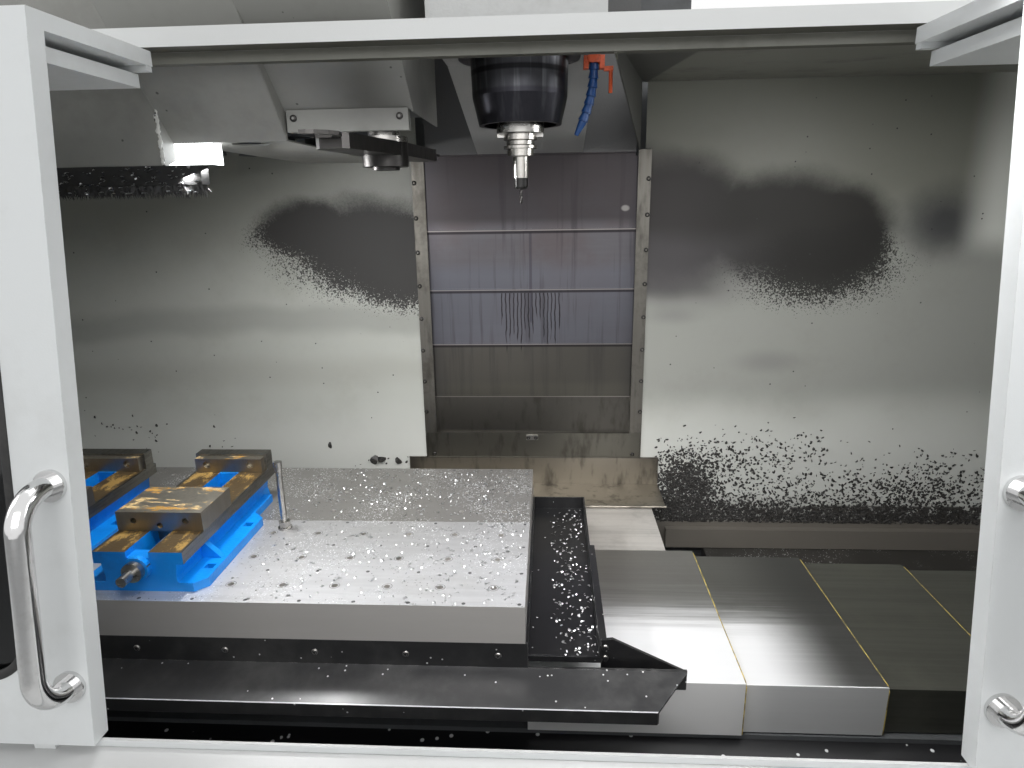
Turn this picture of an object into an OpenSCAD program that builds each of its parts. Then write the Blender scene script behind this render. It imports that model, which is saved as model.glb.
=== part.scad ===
// Vertical machining center: a saddle and table on a cast bed, a head on a column,
// telescopic way covers, a twin-arm tool changer, two vises and sliding front doors.
// Millimetres. X runs to the right, Y to the back, Z up from the floor.
// The origin is on the floor under the middle of the machine.

/* [Travels] */
// Table travel from left to right
x_travel = 1100; // [1060:5:1100]
// Saddle travel towards the doors
y_forward = 200; // [150:5:200]
// Saddle travel towards the column
y_back = 240; // [200:5:240]
// Head travel downwards
z_travel = 600; // [560:5:600]
// Stroke of the tool changer arm
arm_stroke = 115; // [100:1:120]

/* [Table and tooling] */
// Length of the table
table_l = 1120; // [1100:5:1130]
// Width of the table
table_w = 600; // [580:5:610]
// Thickness of the table
table_t = 120; // [100:5:130]
// Height of the table top above the floor
table_top = 850; // [848:1:856]
// Thickness of the tooling plates
plate_t = 75; // [60:1:80]
// Both tooling plates together, front to back
plate_w = 618; // [600:2:620]
// Spacing of the holes in the tooling plates
hole_pitch = 100; // [80:5:120]
// Diameter of the holes in the tooling plates
hole_d = 12; // [8:0.5:16]
// Width of a T-slot
slot_w = 18; // [12:1:22]
// Spacing of the T-slots
slot_pitch = 110; // [90:5:120]

/* [Spindle and head] */
// Distance of the spindle axis from the cover plane of the column
throat = 672; // [660:1:680]
// Height of the spindle face above the floor, head fully up
nose_z = 1738; // [1730:1:1742]
// Diameter of the spindle nose
nose_d = 88.9; // [86:0.1:92]
// Width of the head casting
head_w = 300; // [280:2:320]
// Diameter of the flange of the tool holder
holder_d = 63; // [62:0.5:64]
// Diameter of the drill
drill_d = 6; // [3:0.5:8]

/* [Ways and covers] */
// Diameter of the ball screws
screw_d = 32; // [28:1:34]
// Width of a guide rail
rail_w = 45; // [40:1:50]
// Sheet thickness of the way covers
cover_t = 3; // [2:0.5:3]
// Step in height and width from one table cover to the next
cover_step = 10; // [8:1:10]
// Length of one table cover
cover_l = 320; // [312:2:330]
// Spacing of the screws along the cover strips
strip_pitch = 100; // [80:5:120]

/* [Enclosure] */
// Overall width of the machine
machine_w = 3200; // [3180:10:3260]
// Overall depth of the machine
machine_d = 2640; // [2640:10:2660]
// Thickness of the side walls
wall_t = 40; // [30:2:40]
// Height of the door sill
sill_z = 906; // [900:1:906]
// Height of the door roof
door_top = 1848; // [1840:1:1850]
// Width of one door
door_w = 600; // [580:5:620]
// Thickness of a door
door_t = 28; // [24:1:32]
// Diameter of the door handles
handle_d = 28; // [24:1:30]
// Mounting distance of the door handles
handle_l = 275; // [260:5:300]

/* [Vises] */
// Jaw width of the vises
jaw_w = 172; // [160:1:174]
// Length of a vise, front to back
vise_l = 423; // [410:1:430]
// Height of the vise bed above the plate
bed_h = 81; // [78:1:84]
// Height of the jaws above the plate
jaw_h = 121; // [116:1:126]
// Spacing of the two vises
vise_pitch = 300; // [296:1:304]

/* [Tool changer] */
// Distance of the changer arm from the spindle axis
arm_reach = 260; // [256:1:264]
// Angle at which the arm is parked, from the line to the spindle
arm_park = 79; // [75:1:82]
// Number of tool pots
pot_count = 20; // [16:1:20]
// Radius of the circle of tool pots
pot_ring = 290; // [284:1:292]

/* [Hidden] */
$fn = 48;

// Running and seating gaps
gap = 0.3;
half_w = machine_w / 2;
inner_x = half_w - wall_t;

// The plane of the column cover and of the back walls
plane_y = 72;
spindle_y = plane_y - throat;
// Reach from the front panel to the spindle
reach = 720;
front_y = spindle_y - reach;
back_y = front_y + machine_d;
column_y = plane_y + 78;
column_half = 450;
column_depth = machine_d - 1940;
column_top = 2480;

// The table stands at the left end of its travel
table_x = -x_travel / 2;
table_bottom = table_top - table_t;
table_left = table_x - table_l / 2;
table_right = table_x + table_l / 2;
table_front = spindle_y - table_w / 2;
plate_top = table_top + plate_t;
plate_front = spindle_y - plate_w / 2;
plate_back = spindle_y + plate_w / 2;

// Ways: rails, screws and the levels they run at
rail_h = 34;
x_rail_h = 30;
base_top = 440;
base_half = 470;
y_rail_x = 330;
saddle_bottom = base_top + 80;
saddle_top = table_bottom - 85;
saddle_half = half_w - 120;
x_rail_y = 140;
x_screw_z = saddle_top - 20;
y_screw_z = base_top + 40;
z_rail_x = 200;
z_screw_y = column_y - 30;
screw_r = screw_d / 2;
screw_fit = screw_r + gap;
channel_half = 55;
motor_half = 50;

// Table covers, from the one on the table to the one on the saddle
cover_top = table_bottom - 7;
cover_half = 247;
cover_low = saddle_bottom + 84;
cover_edges = [427, 698, 953, 1210, saddle_half + cover_t];
cover_ends = [table_right + x_travel + cover_edges[0] - table_right,
    saddle_half + 20, saddle_half + 10, saddle_half + 5, saddle_half + cover_t];
function cover_share(k) = (cover_ends[k] - cover_edges[k]) / x_travel;

// Column covers, from the one on the head to the fixed one
head_low = nose_z + 7;
plate_bottoms = [1529, 1353, 1184, 1014];
hem = 7;
hem_rise = 1.5;
plate_tall = head_low - 12 - plate_bottoms[0];
plate_half = 330;
fixed_plate_low = 896;
fixed_plate_top = 1104;
frame_low = 812;
strip_in = 308;
strip_out = 345;
strip_low = 898;
strip_top = 1750;
strip_screws = 9;
strip_screw_top = 1670;
strip_screw_x = 338.5;
side_return = strip_out - 4;

// Doors lean back by this much for each millimetre of height
lean = 0.149;
lean_y = front_y + 125;
lean_z = 1138;
roof_back = -836;
roof_t = 22;
left_edge = -560;
right_edge = 585;
fixed_gap = 2;
fixed_t = 20;
handle_drop = 60;
handle_z = 1003;
handle_in = 25;
window_low = 1010;
window_high = 1495;
window_in = 81;
window_out = 82;
window_r = 60;
glass_t = 6;
function door_y(z) = lean_y + lean * (z - lean_z);

// Back walls, gutter and roof
wall_low = 568;
wall_foot = 504;
wall_top = 1926;
sheet = 3;
beam_front = -830;
beam_back = -790;
beam_low = 1855;
beam_high = 1883;
guard_x = 192;
guard_top = 2200;
guard_left = -1100;
panel_front = -855;

// Head
head_front = spindle_y - 120;
head_back = plane_y - 12;
carriage_back = column_y - 60;
carriage_half = 300;
flange_z = nose_z + 142;
head_top = 2400;
cartridge_r = 84;
rotor_r = 38;
motor_top = 2560;

// Vises
vise_x = -705;
vise_front = spindle_y - 278;
vise_back = vise_front + vise_l;
bed_z = plate_top + bed_h;
jaw_z = plate_top + jaw_h;
bed_t = 24;
foot_half = 118;
fixed_jaw_y = spindle_y + 89;
jaw_plate_t = 18;
moving_y = spindle_y - 198;
moving_l = 118;
vise_screw_z = plate_top + 51;
vise_screw_r = 10;
vise_slot = 22;

// Tool changer
arm_x = -arm_reach;
arm_low = nose_z - 35;
arm_t = 24;
groove_z = nose_z - 17;
arm_half = 34;
pot_x = 2 * arm_x;
drum_turn = 24;
drum_x = pot_x - pot_ring * sin(drum_turn);
drum_y = spindle_y + pot_ring * cos(drum_turn);
drum_z = nose_z + 122;
pot_z = nose_z + 7;
shaft_r = 30;
frame_z = 1940;

module span(x, y, z) {
    translate([x[0], y[0], z[0]]) cube([x[1] - x[0], y[1] - y[0], z[1] - z[0]]);
}

// An outline drawn in Y and Z, carried along X
module along_x(x, outline) {
    translate([x[0], 0, 0]) rotate([90, 0, 90]) linear_extrude(x[1] - x[0]) polygon(outline);
}

// An outline drawn in X and Z, carried along Y
module along_y(y, outline) {
    translate([0, y[1], 0]) rotate([90, 0, 0]) linear_extrude(y[1] - y[0]) polygon(outline);
}

module both_sides() {
    children();
    mirror([1, 0, 0]) children();
}

module rod_x(x, y, z, r) {
    translate([x[0], y, z]) rotate([0, 90, 0]) cylinder(h = x[1] - x[0], r = r);
}

module rod_y(x, y, z, r) {
    translate([x, y[0], z]) rotate([-90, 0, 0]) cylinder(h = y[1] - y[0], r = r);
}

module rod_z(x, y, z, r) {
    translate([x, y, z[0]]) cylinder(h = z[1] - z[0], r = r);
}

module rounded_square(w, h, r) {
    union() {
        translate([-w / 2 + r, -h / 2]) square([w - 2 * r, h]);
        translate([-w / 2, -h / 2 + r]) square([w, h - 2 * r]);
        for (x = [-1, 1], y = [-1, 1])
            translate([x * (w / 2 - r), y * (h / 2 - r)]) circle(r);
    }
}

// Section of a guide rail, waisted for the runner's balls
function rail_outline(w, h) = [
    [-w / 2, 0], [w / 2, 0], [w / 2, h * 0.45], [w / 2 - 5, h * 0.6],
    [w / 2 - 5, h * 0.72], [w / 2, h * 0.82], [w / 2, h], [-w / 2, h],
    [-w / 2, h * 0.82], [-w / 2 + 5, h * 0.72], [-w / 2 + 5, h * 0.6], [-w / 2, h * 0.45]];

// A runner block: its slot clears the rail, its outer face is bolted on
module runner(w, l, h, rail_tall) {
    rise = rail_tall * 0.4;
    translate([0, l / 2, 0]) rotate([90, 0, 0]) linear_extrude(l) difference() {
        translate([-w / 2, rise]) square([w, h - rise]);
        translate([-rail_w / 2 - 1, -1]) square([rail_w + 2, rail_tall + 2]);
    }
}

module ball_screw(length) {
    core = screw_r - 2;
    union() {
        cylinder(h = length, r = core);
        translate([0, 0, 60]) cylinder(h = length - 120, r = screw_r);
    }
}

module servo(length) {
    union() {
        linear_extrude(length) rounded_square(2 * motor_half, 2 * motor_half, 8);
        translate([0, 0, length]) cylinder(h = 20, r = motor_half - 8);
    }
}

// Bed: a cast box with a wide rear for the column and a channel for the screw
base_front = front_y + 140;
base_back = column_y + column_depth + 40;
wide_half = 620;
foot_y = [base_front + 90, base_front + 900, base_back - 100];
foot_x = base_half + 40;
foot_bore = 13;
lug_z = 60;

module base_casting() color("gray") difference() {
    union() {
        span([-base_half, base_half], [base_front, base_back], [lug_z, base_top]);
        span([-wide_half, wide_half], [column_y - 30, base_back], [lug_z, base_top]);
        for (y = foot_y, side = [-1, 1])
            span([side * foot_x - 70, side * foot_x + 70], [y - 60, y + 60], [lug_z, lug_z + 70]);
        for (y = [base_front + 50, column_y - 60])
            span([-channel_half, channel_half], [y, y + 30], [base_top - 60, base_top + 75]);
    }
    difference() {
        span([-70, 70], [base_front - 1, column_y + 250], [base_top - 60, base_top + 1]);
        for (y = [base_front + 50, column_y - 60])
            span([-channel_half, channel_half], [y, y + 30], [base_top - 60, base_top + 75]);
    }
    rod_y(0, [base_front - 1, column_y], y_screw_z, screw_fit);
    // Core openings in both flanks
    for (y = [base_front + 160 : 260 : column_y - 300], side = [-1, 1])
        span([side * base_half - 40, side * base_half + 40], [y, y + 170], [200, 360]);
    for (y = foot_y, side = [-1, 1]) rod_z(side * foot_x, y, [0, lug_z + 80], foot_bore);
    for (y = foot_y, side = [-1, 1])
        rod_z(side * foot_x, y, [lug_z + 70, base_top + 1], 40);
}

module levelling_feet() color("dimgray") for (y = foot_y, side = [-1, 1])
    translate([side * foot_x, y, 0]) union() {
        cylinder(h = 22, r = 60);
        translate([0, 0, 22]) cylinder(h = 16, r1 = 50, r2 = 26);
        cylinder(h = lug_z + 100, r = 12);
        translate([0, 0, lug_z - 20]) cylinder(h = 20, r = 20, $fn = 6);
        translate([0, 0, lug_z + 70]) cylinder(h = 20, r = 20, $fn = 6);
    }

tunnel_half = 385;
tunnel_low = cover_top - 50;
tunnel_high = cover_top + 42;

module column() color("gainsboro") difference() {
    union() {
        span([-column_half, column_half], [column_y, column_y + column_depth],
            [base_top, column_top]);
        both_sides() along_y([column_y, column_y + column_depth], [
            [column_half, base_top], [wide_half - 20, base_top],
            [wide_half - 20, base_top + 60], [column_half, base_top + 620]]);
        // Bearings of the head's screw
        for (z = [head_low - z_travel - 60, column_top - 60])
            span([-60, 60], [z_screw_y - 30, column_y], [z, z + 40]);
        // Seat of the head's motor
        span([-80, 80], [z_screw_y - 60, column_y + 40], [column_top - 20, column_top]);
    }
    // Room for the long rear cover and for the saddle's motor
    span([-tunnel_half, tunnel_half], [column_y - 1, rear_cover_y + rear_cover_l + y_back + 30],
        [tunnel_low, tunnel_high]);
    span([-80, 80], [column_y - 1, column_y + 260], [base_top - 1, base_top + 130]);
    rod_z(0, z_screw_y, [base_top, column_top + 1], screw_fit);
    // Cast pockets in both flanks
    for (z = [base_top + 700 : 420 : column_top - 400], side = [-1, 1])
        span([side * column_half - 60, side * column_half + 60],
            [column_y + 180, column_y + column_depth - 180], [z, z + 320]);
}

module guide_rails() color("silver") {
    for (side = [-1, 1]) {
        translate([side * y_rail_x, column_y - 100, base_top]) rotate([90, 0, 0])
            linear_extrude(column_y - 100 - base_front - 40)
                polygon(rail_outline(rail_w, rail_h));
        translate([side * z_rail_x, column_y, head_low - z_travel - 30]) rotate([0, 0, 180])
            linear_extrude(column_top - 40 - (head_low - z_travel - 30))
                polygon(rail_outline(rail_w, rail_h));
    }
}

module axis_motors() color("darkslategray") {
    translate([0, column_y - 30, y_screw_z]) rotate([-90, 0, 0]) servo(130);
    translate([0, z_screw_y, column_top]) servo(190);
}

// Chip pans: sloping floors beside the bed, draining into a trough across the front
trough_back = base_front - 8;
trough_front = front_y + 43;
pan_in = base_half + 90;
module chip_pans() color("gray") union() {
    along_x([-inner_x, inner_x], [
        [trough_front, 380], [trough_back, 380], [trough_back, 432], [trough_back - sheet, 432],
        [trough_back - sheet, 383], [trough_front + sheet, 383], [trough_front + sheet, 520],
        [trough_front, 520]]);
    both_sides() {
        along_x([pan_in, inner_x], [
            [plane_y, 505], [plane_y, 502], [trough_back - 1.5, 427], [trough_back - 1.5, 430]]);
        along_x([pan_in - 1, pan_in + 2], [
            [plane_y - 1, 503], [plane_y - 1, 440], [trough_back - 1, 386],
            [trough_back - 1, 428]]);
    }
}

// Front base panel with its sloping ledge under the doors
sill_in = front_y + 108;
sill_low = 120;
module front_sill() color("whitesmoke") union() {
    sill_body();
    // Track that the doors run along
    span([-half_w + 60, half_w - 60], [sill_in - 4.5, sill_in],
        [sill_z - 1, sill_z + 10]);
}

module sill_body() difference() {
    along_x([-half_w, half_w], [
        [front_y + 50, lug_z], [front_y + 50, 110], [front_y, 110], [front_y, sill_z - 44],
        [front_y + 30, sill_z], [sill_in, sill_z], [sill_in, sill_z - 36],
        [front_y + 40, sill_z - 36], [front_y + 40, sill_low], [front_y + 62, sill_low],
        [front_y + 62, lug_z]]);
    // Joints of the three front panels
    for (x = [-560, 560]) span([x - 2, x + 2], [front_y - 1, front_y + 3], [120, sill_z - 60]);
}

// Side walls, each welded to the fixed front panel beside its door
side_back = column_y + 250;
post_x = inner_x;
post_y = front_y + 58;
post_r = 20;
fixed_in_right = right_edge + 25;
fixed_in_left = -left_edge + 25;
module side_wall() {
    span([inner_x, half_w], [front_y + 40, sill_in + 1], [sill_low, sill_z - 36]);
    span([inner_x, half_w], [sill_in, side_back], [sill_low, sill_z - 35]);
    along_x([inner_x, half_w], [
        [sill_in, sill_z - 36], [sill_in, sill_z], [door_y(sill_z), sill_z],
        [door_y(door_top), door_top], [beam_front, door_top], [beam_front, wall_top],
        [side_back, wall_top], [side_back, sill_z - 36]]);
}

module fixed_panel(x_in) {
    out = door_t + fixed_gap;
    low = door_top - roof_t - 10;
    along_x([x_in, inner_x], [
        [door_y(sill_z) + out, sill_z], [door_y(low) + out, low], [roof_back, low],
        [roof_back, low - 20], [door_y(low - 20) + out + fixed_t, low - 20],
        [door_y(sill_z) + out + fixed_t, sill_z]]);
}

module enclosure_sides() color("white") {
    union() {
        side_wall();
        fixed_panel(fixed_in_right);
        rod_z(post_x, post_y, [sill_z, 1760], post_r);
        span([post_x, half_w], [post_y - 15, -1100], [1715, 1760]);
    }
    mirror([1, 0, 0]) union() {
        side_wall();
        fixed_panel(fixed_in_left);
    }
}

module back_walls() color("gainsboro") both_sides() union() {
    span([strip_out, inner_x], [plane_y, plane_y + sheet], [rear_cover_top + 11, wall_top]);
    span([carriage_half + 28, strip_out + 1], [plane_y, plane_y + sheet],
        [strip_top + 2, wall_top]);
    span([strip_out + 90, inner_x - 130], [plane_y - 22, plane_y], [wall_low, wall_low + sheet]);
    span([strip_out + 90, inner_x - 130], [plane_y - 22, plane_y - 22 + sheet],
        [wall_foot + 2, wall_low]);
    // The lower part keeps clear of the rear cover
    span([rear_cover_half + 3, inner_x], [plane_y, plane_y + sheet],
        [wall_foot, rear_cover_top + 12]);
}

// Front beam, right ceiling and the guard plate beside the head
module roof_frame() color("whitesmoke") difference() {
    roof_sheets();
    // Room for the head's carriage
    span([guard_x, carriage_half + 15], [head_back - 10, plane_y + 10],
        [beam_high, wall_top + 10]);
}

splay_front = 156;
splay_back = 308;
splay_y = [beam_back + 5, plane_y - 14];
splay_z = [1836, 1747];
function splay_x(y) = splay_front
    + (splay_back - splay_front) * (y - splay_y[0]) / (splay_y[1] - splay_y[0]);
function ceiling_z(y) = beam_low + 1
    + (wall_top - beam_low - 1) * (y - beam_back + 1) / (plane_y - beam_back + 1);
module roof_sheets() union() {
    span([-inner_x, inner_x], [beam_front, beam_back], [beam_low, beam_high]);
    span([-inner_x, inner_x], [beam_back, beam_back + 20], [beam_low - 17, beam_low + 12]);
    difference() {
        along_x([splay_front, inner_x], [
            [beam_back - 1, beam_low + 1], [beam_back - 1, beam_low + sheet + 1],
            [plane_y + sheet, wall_top + sheet], [plane_y + sheet, wall_top], [plane_y, wall_top]]);
        linear_extrude(wall_top + 10) polygon([
            [splay_front - 20, splay_y[0] - 60], [splay_x(splay_y[0] - 60) + 1, splay_y[0] - 60],
            [splay_x(splay_y[1] + 60) + 1, splay_y[1] + 60],
            [splay_front - 20, splay_y[1] + 60]]);
    }
    // Guard plate beside the head, splayed towards the back
    intersection() {
        linear_extrude(wall_top + 10) polygon([
            [splay_front, splay_y[0]], [splay_back, splay_y[1]],
            [splay_back + sheet, splay_y[1]], [splay_front + sheet, splay_y[0]]]);
        along_x([splay_front - 10, splay_back + 20], [
            [splay_y[0] - 1, splay_z[0]], [splay_y[1] + 1, splay_z[1]],
            [splay_y[1] + 1, ceiling_z(splay_y[1] + 1) + 1.5],
            [splay_y[0] - 1, ceiling_z(splay_y[0] - 1) + 1.5]]);
    }
}

// Sheet guard round the tool magazine
b_low = 1730;
c_low = 1780;
b_x = -650;
c_x = -430;
lip_y = -650;
a_y = -690;
module sloped_panel(x, low, high) {
    along_x(x, [
        [lip_y, low], [panel_front, high], [panel_front, guard_top + 1],
        [panel_front + sheet, guard_top + 1], [panel_front + sheet, high + 1],
        [lip_y + sheet + 1, low]]);
}

module magazine_guard() color("gainsboro") union() {
    sloped_panel([b_x, c_x], b_low, b_low + 236);
    // Bottom sheet with the opening for the changed tool
    difference() {
        span([b_x, c_x], [lip_y + 1, plane_y], [b_low, b_low + sheet]);
        rod_z(pot_x, spindle_y, [b_low - 1, b_low + 4], holder_r + 5);
    }
    sloped_panel([c_x, -guard_x], c_low, c_low + 172);
    // Step between the two sloped panels
    along_x([c_x - sheet, c_x + 1], [
        [lip_y + 2, b_low + 1], [panel_front + 2, b_low + 234], [panel_front + 20, b_low + 236],
        [lip_y + 2, c_low + 20]]);
    // Cheek between the sloped and the upright panel
    along_x([b_x - 1, b_x + sheet], [
        [a_y + 1, 1686], [lip_y + 2, 1700], [lip_y + 2, b_low + 2], [a_y + 1, b_low + 48]]);
    along_x([b_x - 1, b_x + sheet], [
        [a_y + 2, b_low + 42], [panel_front + 1, b_low + 236], [panel_front + 1, guard_top + 1],
        [a_y + 2, guard_top + 1]]);
    along_y([a_y, a_y + sheet], [
        [-inner_x, 1685], [b_x + 1, 1685], [b_x + 1, guard_top + 1], [guard_left, guard_top + 1],
        [guard_left, wall_top + 1], [-inner_x, wall_top + 1]]);
    span([-inner_x, guard_left - 1], [a_y, plane_y + sheet], [wall_top, wall_top + sheet]);
    span([guard_left - sheet, guard_left], [a_y, plane_y + sheet], [wall_top, guard_top + 1]);
    translate([0, 0, guard_top]) linear_extrude(sheet) polygon([
        [guard_left - sheet, a_y], [b_x - 1, a_y], [b_x - 1, panel_front], [-guard_x, panel_front],
        [-guard_x, head_back - 10], [-carriage_half - 15, head_back - 10],
        [-carriage_half - 15, plane_y + sheet], [guard_left - sheet, plane_y + sheet]]);
    span([guard_left - 1, -column_half - 10], [plane_y, plane_y + sheet],
        [wall_top, guard_top + 1]);
    // Right flank beside the head
    along_x([-guard_x - sheet, -guard_x], [
        [lip_y + 1, c_low + 1], [panel_front + 1, c_low + 172], [panel_front + 1, guard_top + 1],
        [-380, guard_top + 1], [-380, c_low - 4], [lip_y + 1, c_low - 4]]);
    // Lip box in front of the changer
    span([c_x + 5, -guard_x - 8], [lip_y - 6, lip_y + 14], [c_low - 36, c_low + 2]);
    for (x = [c_x + 18, -guard_x - 24]) rod_y(x, [lip_y - 9, lip_y - 5], c_low - 12, 5);
    // Brush strip under the upright panel
    span([guard_left - 150, b_x + 70], [a_y - 4, a_y + 26], [1655, 1688]);
}

lamp_x = [b_x - 46, b_x + 68];
module work_lamp() color("white") union() {
    along_x(lamp_x, [
        [lip_y + 4, b_low], [lip_y + 4, b_low - 14], [lip_y + 20, b_low - 36],
        [lip_y + 44, b_low - 36], [lip_y + 44, b_low]]);
    for (x = [lamp_x[0] - 4, lamp_x[1]])
        span([x, x + 4], [lip_y + 3, lip_y + 46], [b_low - 38, b_low]);
}

// Fixed frame round the column cover, the rear band and the shelf before it
band_half = 403;
band_low = cover_top + 5 - 8;
shelf_front = plane_y - 172;
module cover_frame() color("silver") union() {
    both_sides() {
        span([strip_in, strip_out], [plane_y - 6, plane_y - 6 + cover_t], [strip_low, strip_top]);
        span([side_return, strip_out], [plane_y - 6, column_y], [strip_low, strip_top]);
        for (i = [0 : strip_screws - 2])
            rod_y(strip_screw_x, [plane_y - 9, plane_y - 5], strip_screw_top - i * strip_pitch, 5);
        rod_y(plate_half - 10, [plane_y - 3, plane_y + 1], frame_low + 12, 5);
    }
    span([-side_return, side_return], [plane_y, plane_y + cover_t], [frame_low, fixed_plate_low]);
    span([-side_return, side_return], [plane_y, column_y], [frame_low, frame_low + cover_t]);
    both_sides() span([side_return, strip_out], [plane_y - 6, column_y], [frame_low, strip_low]);
    // Sensor plate with two screws
    span([-20, 18], [plane_y - 5, plane_y + 1], [fixed_plate_low - 22, fixed_plate_low - 6]);
    // The lowest cover plate stays put
    span([-side_return, side_return], [plane_y + 13.2, plane_y + 13.2 + cover_t],
        [fixed_plate_low - cover_t, fixed_plate_top]);
    span([-side_return, side_return], [plane_y, plane_y + 16.2],
        [fixed_plate_low - cover_t, fixed_plate_low]);
    // Rear band, shelf and rolled lip over the long rear cover
    span([-band_half, band_half], [plane_y - 4, plane_y - 1], [band_low, frame_low + 3]);
    span([-band_half, band_half], [plane_y - 4, plane_y], [frame_low, frame_low + 3]);
    span([-band_half, band_half], [shelf_front, plane_y - 1], [band_low, band_low + cover_t]);
    rod_x([-band_half, band_half], shelf_front, band_low + 4, 4);
}

bracket_x = -carriage_half - 12;
module changer_frame() color("dimgray") difference() {
    union() {
        // Bracket from the column's front face
        span([-440, bracket_x], [spindle_y + 120, column_y], [frame_z, frame_z + 200]);
        span([-440, bracket_x], [column_y - 30, column_y], [frame_z - 60, frame_z + 300]);
        // Gearbox over the arm
        span([arm_x - 75, arm_x + 60], [spindle_y - 42, spindle_y + 130],
            [c_low + 6, frame_z + 200]);
        rod_z(arm_x, spindle_y, [c_low - 20, c_low + 7], shaft_r + 4);
        // Bearing of the magazine
        span([drum_x - 60, -330], [drum_y - 60, drum_y + 60], [frame_z, frame_z + 60]);
        rod_z(drum_x, drum_y, [drum_z + 30, frame_z], 70);
    }
    rod_z(arm_x, spindle_y, [c_low - 40, frame_z + 150], shaft_r + gap);
    rod_z(drum_x, drum_y, [drum_z, frame_z + 40], shaft_r + gap);
}

cabinet_half = 600;
cabinet_front = column_y + column_depth + 90;
cabinet_back = back_y - 30;
cabinet_low = 120;
cabinet_top = 1980;
hinge_r = 8;
module electrical_cabinet() color("whitesmoke") difference() {
    union() {
        span([-cabinet_half, cabinet_half], [cabinet_front, cabinet_back - 24],
            [cabinet_low, cabinet_top]);
        for (x = [-400, 400], z = [700, 1700])
            span([x - 30, x + 30], [column_y + column_depth, cabinet_front + 1], [z, z + 80]);
        for (z = [cabinet_low + 200, cabinet_top - 300])
            span([cabinet_half - 1, cabinet_half + 12], [cabinet_back - 60, cabinet_back - 26],
                [z, z + 100]);
    }
    span([-cabinet_half + 30, cabinet_half - 30], [cabinet_front + 40, cabinet_back],
        [cabinet_low + 30, cabinet_top - 30]);
    // Vents in the right flank
    for (z = [cabinet_low + 900 : 45 : cabinet_low + 1300])
        span([cabinet_half - 31, cabinet_half + 1], [cabinet_front + 80, cabinet_back - 110],
            [z, z + 16]);
}

hinge_x = cabinet_half + 12;
hinge_y = cabinet_back - 12;
module cabinet_door() color("whitesmoke") difference() {
    union() {
        span([-cabinet_half, cabinet_half - 2], [cabinet_back - 24 + gap, cabinet_back],
            [cabinet_low, cabinet_top]);
        for (z = [cabinet_low + 200, cabinet_top - 300]) {
            rod_z(hinge_x, hinge_y, [z + 10, z + 90], 10);
            span([cabinet_half - 3, hinge_x], [hinge_y - 4, hinge_y + 4], [z + 10, z + 90]);
        }
        // Handle and its two feet
        for (z = [1000, 1130])
            rod_y(-cabinet_half + 60, [cabinet_back - 1, back_y - 6], z, 7);
        rod_z(-cabinet_half + 60, back_y - 7, [990, 1140], 7);
    }
    // Rows of air slots, low and high
    for (x = [-300 : 30 : 300], z = [cabinet_low + 140, cabinet_top - 220])
        span([x - 6, x + 6], [cabinet_back - 30, cabinet_back + 1], [z, z + 80]);
}

// A door: leaning face with a window, a level roof and a turned-down end
module door(x_in, side) {
    x0 = side < 0 ? x_in - door_w : x_in;
    low = sill_z + 11;
    window_c = side < 0 ? (x_in - window_in + x_in - door_w + window_out) / 2
        : (x_in + window_in + x_in + door_w - window_out) / 2;
    difference() {
        union() {
            along_x([x0, x0 + door_w], [
                [door_y(low), low], [door_y(door_top), door_top], [roof_back, door_top],
                [roof_back, door_top - roof_t], [door_y(door_top - roof_t) + door_t, door_top - roof_t],
                [door_y(low) + door_t, low]]);
            span([x0 + 2, x0 + door_w - 2], [roof_back - 14, roof_back], [door_top - 30, door_top]);
            for (x = [x0 + 60, x0 + door_w - 90])
                span([x, x + 30], [door_y(low) + 4, door_y(low) + 10], [sill_z + gap, low + 4]);
        }
        window_hole(window_c, window_w, window_high - window_low, window_r, door_t + 60);
        window_hole(window_c, window_w + 24, window_high - window_low + 24, window_r + 12,
            glass_t + 2);
    }
}

window_w = door_w - window_in - window_out;
window_mid = (window_low + window_high) / 2;
module window_hole(x, w, h, r, depth) {
    translate([x, door_y(window_mid) + door_t / 2, window_mid]) rotate([90 - atan(lean), 0, 0])
        translate([0, 0, -depth / 2]) linear_extrude(depth) rounded_square(w, h, r);
}

module window_pane(x) {
    window_hole(x, window_w + 23, window_high - window_low + 23, window_r + 11, glass_t);
}

// Bent tube handle on two round feet, drawn flat and then stood against the door
bend = 45;
module door_handle(x) {
    r = handle_d / 2;
    translate([x, door_y(handle_z), handle_z]) rotate([-atan(lean), 0, 0])
        rotate([0, -90, 180]) union() {
            for (u = [0, handle_l]) {
                rod_y(u, [gap, gap + 6], 0, r + 7);
                rod_y(u, [gap, handle_drop - bend], 0, r);
            }
            translate([bend, handle_drop - bend, 0]) rotate([0, 0, 90])
                rotate_extrude(angle = 90) translate([bend, 0]) circle(r);
            translate([handle_l - bend, handle_drop - bend, 0])
                rotate_extrude(angle = 90) translate([bend, 0]) circle(r);
            rod_x([bend, handle_l - bend], handle_drop, 0, r);
        }
}

module left_door() color("white") door(left_edge, -1);
module right_door() color("white") door(right_edge, 1);
module left_window() color("black") window_pane(left_edge - window_in - window_w / 2);
module right_window() color("black") window_pane(right_edge + window_in + window_w / 2);
module left_handle() color("silver") door_handle(left_edge - handle_in);
module right_handle() color("silver") door_handle(right_edge + handle_in);

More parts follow.
